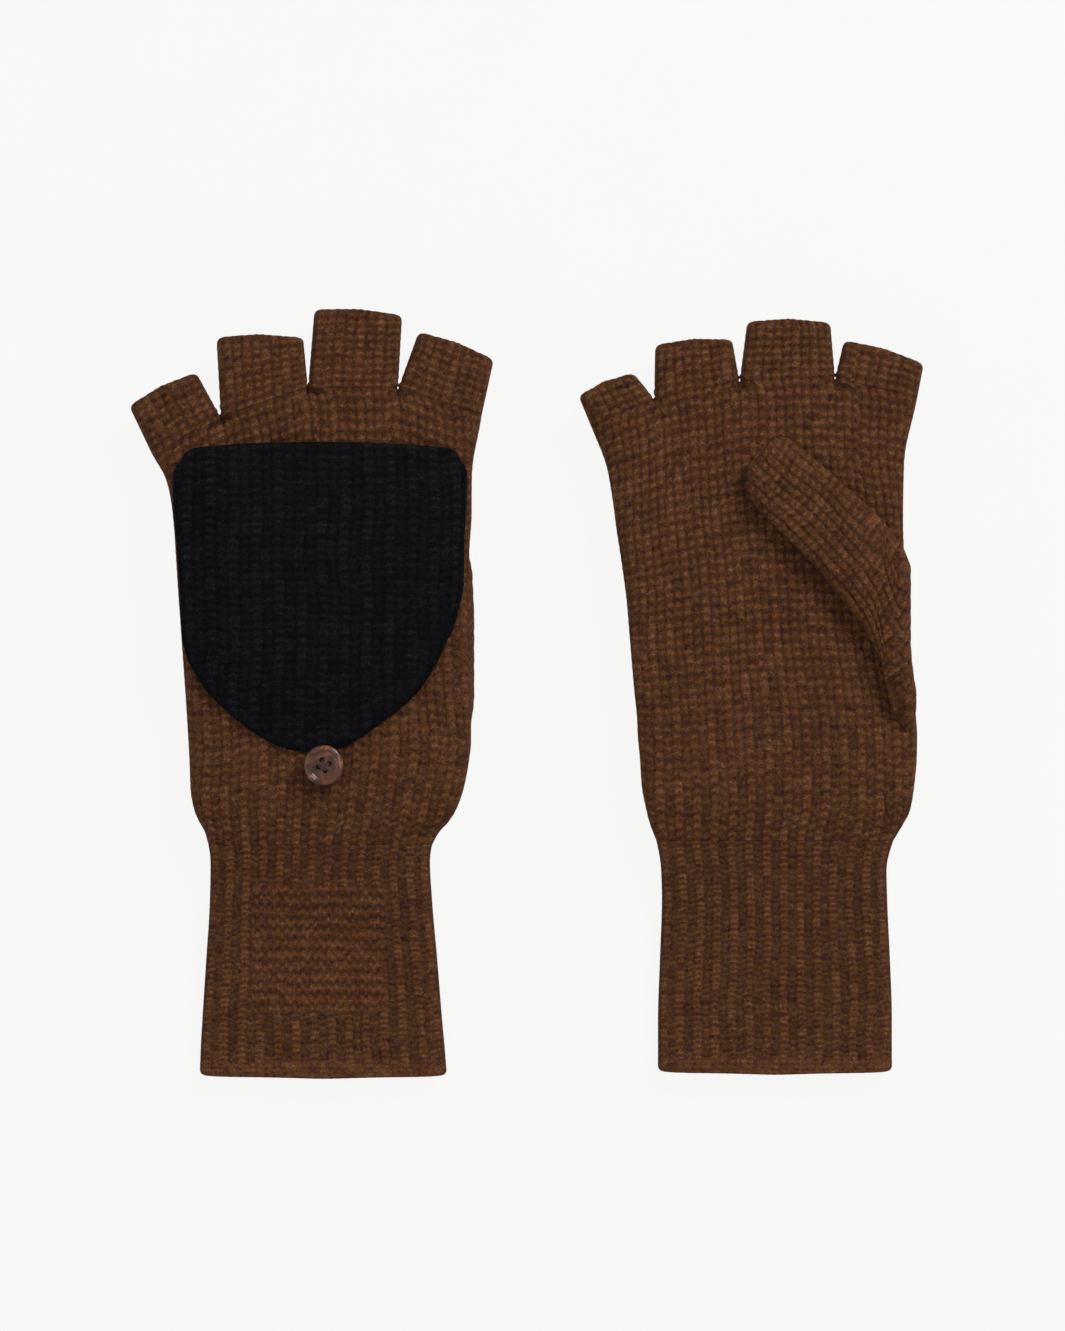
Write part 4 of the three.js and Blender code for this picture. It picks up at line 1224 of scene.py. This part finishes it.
def wool_material(name, colours, flecks, shade_and_highlight_range, fleck_share, sheen, gloss, stitch_share):
    """Carded wool: each stitch its own shade, blended fibres, painted shade in the furrows and a fuzz of
    fine fibres.
    Its range of painted shade and highlight gives how bright the furrows and the stitches' tops are painted,
    as shares of the colour: painted shade in the furrows, painted highlight on the tops."""
    n = Nodes(name)
    knit = n.add("ShaderNodeAttribute", attribute_name="knit").outputs["Vector"]
    rest = n.add("ShaderNodeAttribute", attribute_name="rest").outputs["Vector"]
    split = n.add("ShaderNodeSeparateXYZ", {"Vector": knit}).outputs
    column = n.maths("FLOOR", n.maths("MULTIPLY_ADD", split["X"], 2.0, 0.5))
    row = n.maths("FLOOR", split["Y"])
    stitch = n.add("ShaderNodeCombineXYZ", {"X": column, "Y": row}).outputs["Vector"]
    chance = n.add("ShaderNodeTexWhiteNoise", {"Vector": stitch}, noise_dimensions="2D").outputs["Value"]
    # The yarn's blend, its single fibres, and slow changes across the glove
    marl = n.noise(rest, 1.0, detail=4.0, distortion=0.6)
    grain = n.noise(rest, 2.1, detail=2.0, distortion=0.8)
    broad = n.noise(rest, 0.06, detail=2.0)
    chance = n.scaled(chance, (0.0, 1.0), (-0.5 * stitch_share, 0.5 * stitch_share))
    shade = n.maths("ADD", chance, n.maths("MULTIPLY", marl, 0.4))
    shade = n.maths("ADD", shade, n.maths("MULTIPLY", broad, 0.16))
    shade = n.maths("ADD", shade, n.maths("MULTIPLY", grain, 1.1))
    base = n.ramp(n.scaled(shade, (0.475, 1.195), (0.0, 1.0)), shades(colours))
    tint_noise = n.noise(rest, 0.8, detail=3.0, distortion=1.0)
    tint = n.ramp(tint_noise, shades(flecks))
    base = n.blend("MIX", fleck_share, base, tint)
    # Painted shade and highlight: the stitch height darkens the colour in the furrows, as shade would, and
    # lightens it on the stitches' tops.
    depth = n.scaled(split["Z"], (0.05, 0.95), shade_and_highlight_range)
    painted_shade_and_highlight = n.add("ShaderNodeCombineXYZ", {"X": depth, "Y": depth, "Z": depth}).outputs["Vector"]
    base = n.blend("MULTIPLY", 1.0, base, painted_shade_and_highlight)
    n.join(base, n.shader.inputs["Base Color"])
    ply = n.maths("ADD", n.maths("MULTIPLY", split["X"], 7.0), n.maths("MULTIPLY", split["Y"], 3.0))
    ply = n.maths("SINE", n.maths("MULTIPLY", ply, 2.0 * math.pi))
    fibre = n.noise(rest, 3.4, detail=5.0, distortion=1.2)
    height = n.maths("ADD", n.maths("MULTIPLY", ply, 0.09), n.maths("MULTIPLY", fibre, 1.0))
    bump = n.add("ShaderNodeBump", {"Height": height, "Strength": 0.55, "Distance": 0.0005})
    n.join(bump.outputs["Normal"], n.shader.inputs["Normal"])
    n.join(n.scaled(fibre, (0.3, 0.7), (0.84, 1.0)), n.shader.inputs["Roughness"])
    n.shader.inputs["Specular IOR Level"].default_value = gloss
    n.shader.inputs["Sheen Weight"].default_value = sheen
    n.shader.inputs["Sheen Roughness"].default_value = 0.55
    n.shader.inputs["Sheen Tint"].default_value = linear(*colours[-1][1])
    return n.material


def shell_material(name):
    """Polished mussel or corozo shell: brown and mauve swirls under a gloss."""
    n = Nodes(name)
    place = n.add("ShaderNodeTexCoord").outputs["Object"]
    swirl = n.noise(place, 130.0, detail=2.0, distortion=2.0)
    fine = n.noise(place, 620.0, detail=3.0, distortion=1.5)
    mixed = n.maths("ADD", n.maths("MULTIPLY", swirl, 0.8), n.maths("MULTIPLY", fine, 0.2))
    n.join(n.ramp(mixed, shades(SHELL_SHADES)), n.shader.inputs["Base Color"])
    n.join(n.scaled(swirl, (0.3, 0.7), (0.22, 0.38)), n.shader.inputs["Roughness"])
    bump = n.add("ShaderNodeBump", {"Height": fine, "Strength": 0.12, "Distance": 0.0002})
    n.join(bump.outputs["Normal"], n.shader.inputs["Normal"])
    n.shader.inputs["Coat Weight"].default_value = 0.4
    n.shader.inputs["Coat Roughness"].default_value = 0.06
    n.shader.inputs["Specular IOR Level"].default_value = 0.2
    return n.material


def thread_material(name, colours):
    """Twisted thread or braid, finer than a stitch."""
    n = Nodes(name)
    place = n.add("ShaderNodeTexCoord").outputs["Object"]
    fine = n.noise(place, 2400.0, detail=3.0, distortion=0.8)
    n.join(n.ramp(fine, shades(colours)), n.shader.inputs["Base Color"])
    bump = n.add("ShaderNodeBump", {"Height": fine, "Strength": 0.5, "Distance": 0.0002})
    n.join(bump.outputs["Normal"], n.shader.inputs["Normal"])
    n.join(n.scaled(fine, (0.3, 0.7), (0.55, 0.8)), n.shader.inputs["Roughness"])
    return n.material


def make_floor(low):
    """A plain pale floor at the given height. It glows, so that it stays as pale in every view."""
    n = Nodes("pale_floor")
    place = n.add("ShaderNodeTexCoord").outputs["Object"]
    grain = n.noise(place, 40.0, detail=2.0)
    dark, light = (0.03, 0.03, 0.0298, 1.0), (0.034, 0.034, 0.0338, 1.0)
    n.join(n.ramp(grain, [(0.0, dark), (1.0, light)]), n.shader.inputs["Base Color"])
    n.shader.inputs["Roughness"].default_value = 0.95
    n.shader.inputs["Specular IOR Level"].default_value = 0.0
    n.shader.inputs["Emission Color"].default_value = (1.0, 1.0, 0.995, 1.0)
    n.shader.inputs["Emission Strength"].default_value = FLOOR_GLOW
    corners = [(-1.0, -1.0), (1.0, -1.0), (1.0, 1.0), (-1.0, 1.0)]
    points = np.array([(x * FLOOR_HALF, y * FLOOR_HALF, low) for x, y in corners])
    floor = new_object("floor", points, [(0, 1, 2, 3)], n.material)


def area_light(name, place, size, power):
    """A round soft light that faces the middle of the pair."""
    light = bpy.data.lights.new(name, "AREA")
    light.shape = "DISK"
    light.size = size
    light.energy = power
    lamp = bpy.data.objects.new(name, light)
    lamp.location = place
    lamp.rotation_mode = "QUATERNION"
    lamp.rotation_quaternion = lamp.location.to_track_quat("Z", "Y")
    bpy.context.scene.collection.objects.link(lamp)


def make_studio():
    world = bpy.data.worlds.new("studio")
    world.use_nodes = True
    background = world.node_tree.nodes["Background"]
    background.inputs["Color"].default_value = (1.0, 1.0, 1.0, 1.0)
    background.inputs["Strength"].default_value = WORLD_GLOW
    bpy.context.scene.world = world
    area_light("key", **KEY_LIGHT)
    area_light("fill", **FILL_LIGHT)
    bpy.context.scene.view_settings.view_transform = "Standard"


def make_camera():
    """A camera straight above the pair, high enough to show it almost without perspective."""
    camera = bpy.data.cameras.new("camera")
    camera.sensor_width = SENSOR
    camera.lens = SENSOR * (CAMERA_HEIGHT - CAMERA_LEVEL) / PICTURE_HEIGHT
    camera.clip_end = 20.0
    holder = bpy.data.objects.new("camera", camera)
    holder.location = (CAMERA_MIDDLE[0] * MM, CAMERA_MIDDLE[1] * MM, CAMERA_HEIGHT * MM)
    bpy.context.scene.collection.objects.link(holder)
    bpy.context.scene.camera = holder


def make_glove(glove, brown, black, shell, thread, elastic):
    make_cuff(glove, brown)
    last_row, cuts = make_hand(glove, brown)
    for index in range(len(FINGERS)):
        make_finger(glove, index, last_row, cuts, brown)
    make_thumb(glove, brown)
    make_flap_panel(glove, "back", black)
    make_flap_panel(glove, "front", black)
    make_flap_seam(glove, black)
    make_hinge_seam(glove, black)
    make_button(glove, shell)
    make_thread(glove, thread)
    make_loop(glove, elastic)


make_studio()
make_camera()
# Each wool gets painted shade in its furrows and painted highlight on its stitches' tops, as shares of its
# colour.
brown_wool = wool_material(
    "brown_wool", BROWN_SHADES, BROWN_FLECKS,
    shade_and_highlight_range=(0.42, 1.32), fleck_share=0.5, sheen=0.07, gloss=0.08, stitch_share=0.3,
)
black_wool = wool_material(
    "black_wool", BLACK_SHADES, BLACK_FLECKS,
    shade_and_highlight_range=(0.5, 1.45), fleck_share=0.4, sheen=0.03, gloss=0.04, stitch_share=0.2,
)
shell_gloss = shell_material("shell")
dark_thread = thread_material("sewing_thread", THREAD_SHADES)
dark_elastic = thread_material("elastic_cord", ELASTIC_SHADES)
for side, back in (("left", 1), ("right", -1)):
    make_glove(Glove(side, back), brown_wool, black_wool, shell_gloss, dark_thread, dark_elastic)
low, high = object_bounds()
make_floor(min(low.z, 0.0))
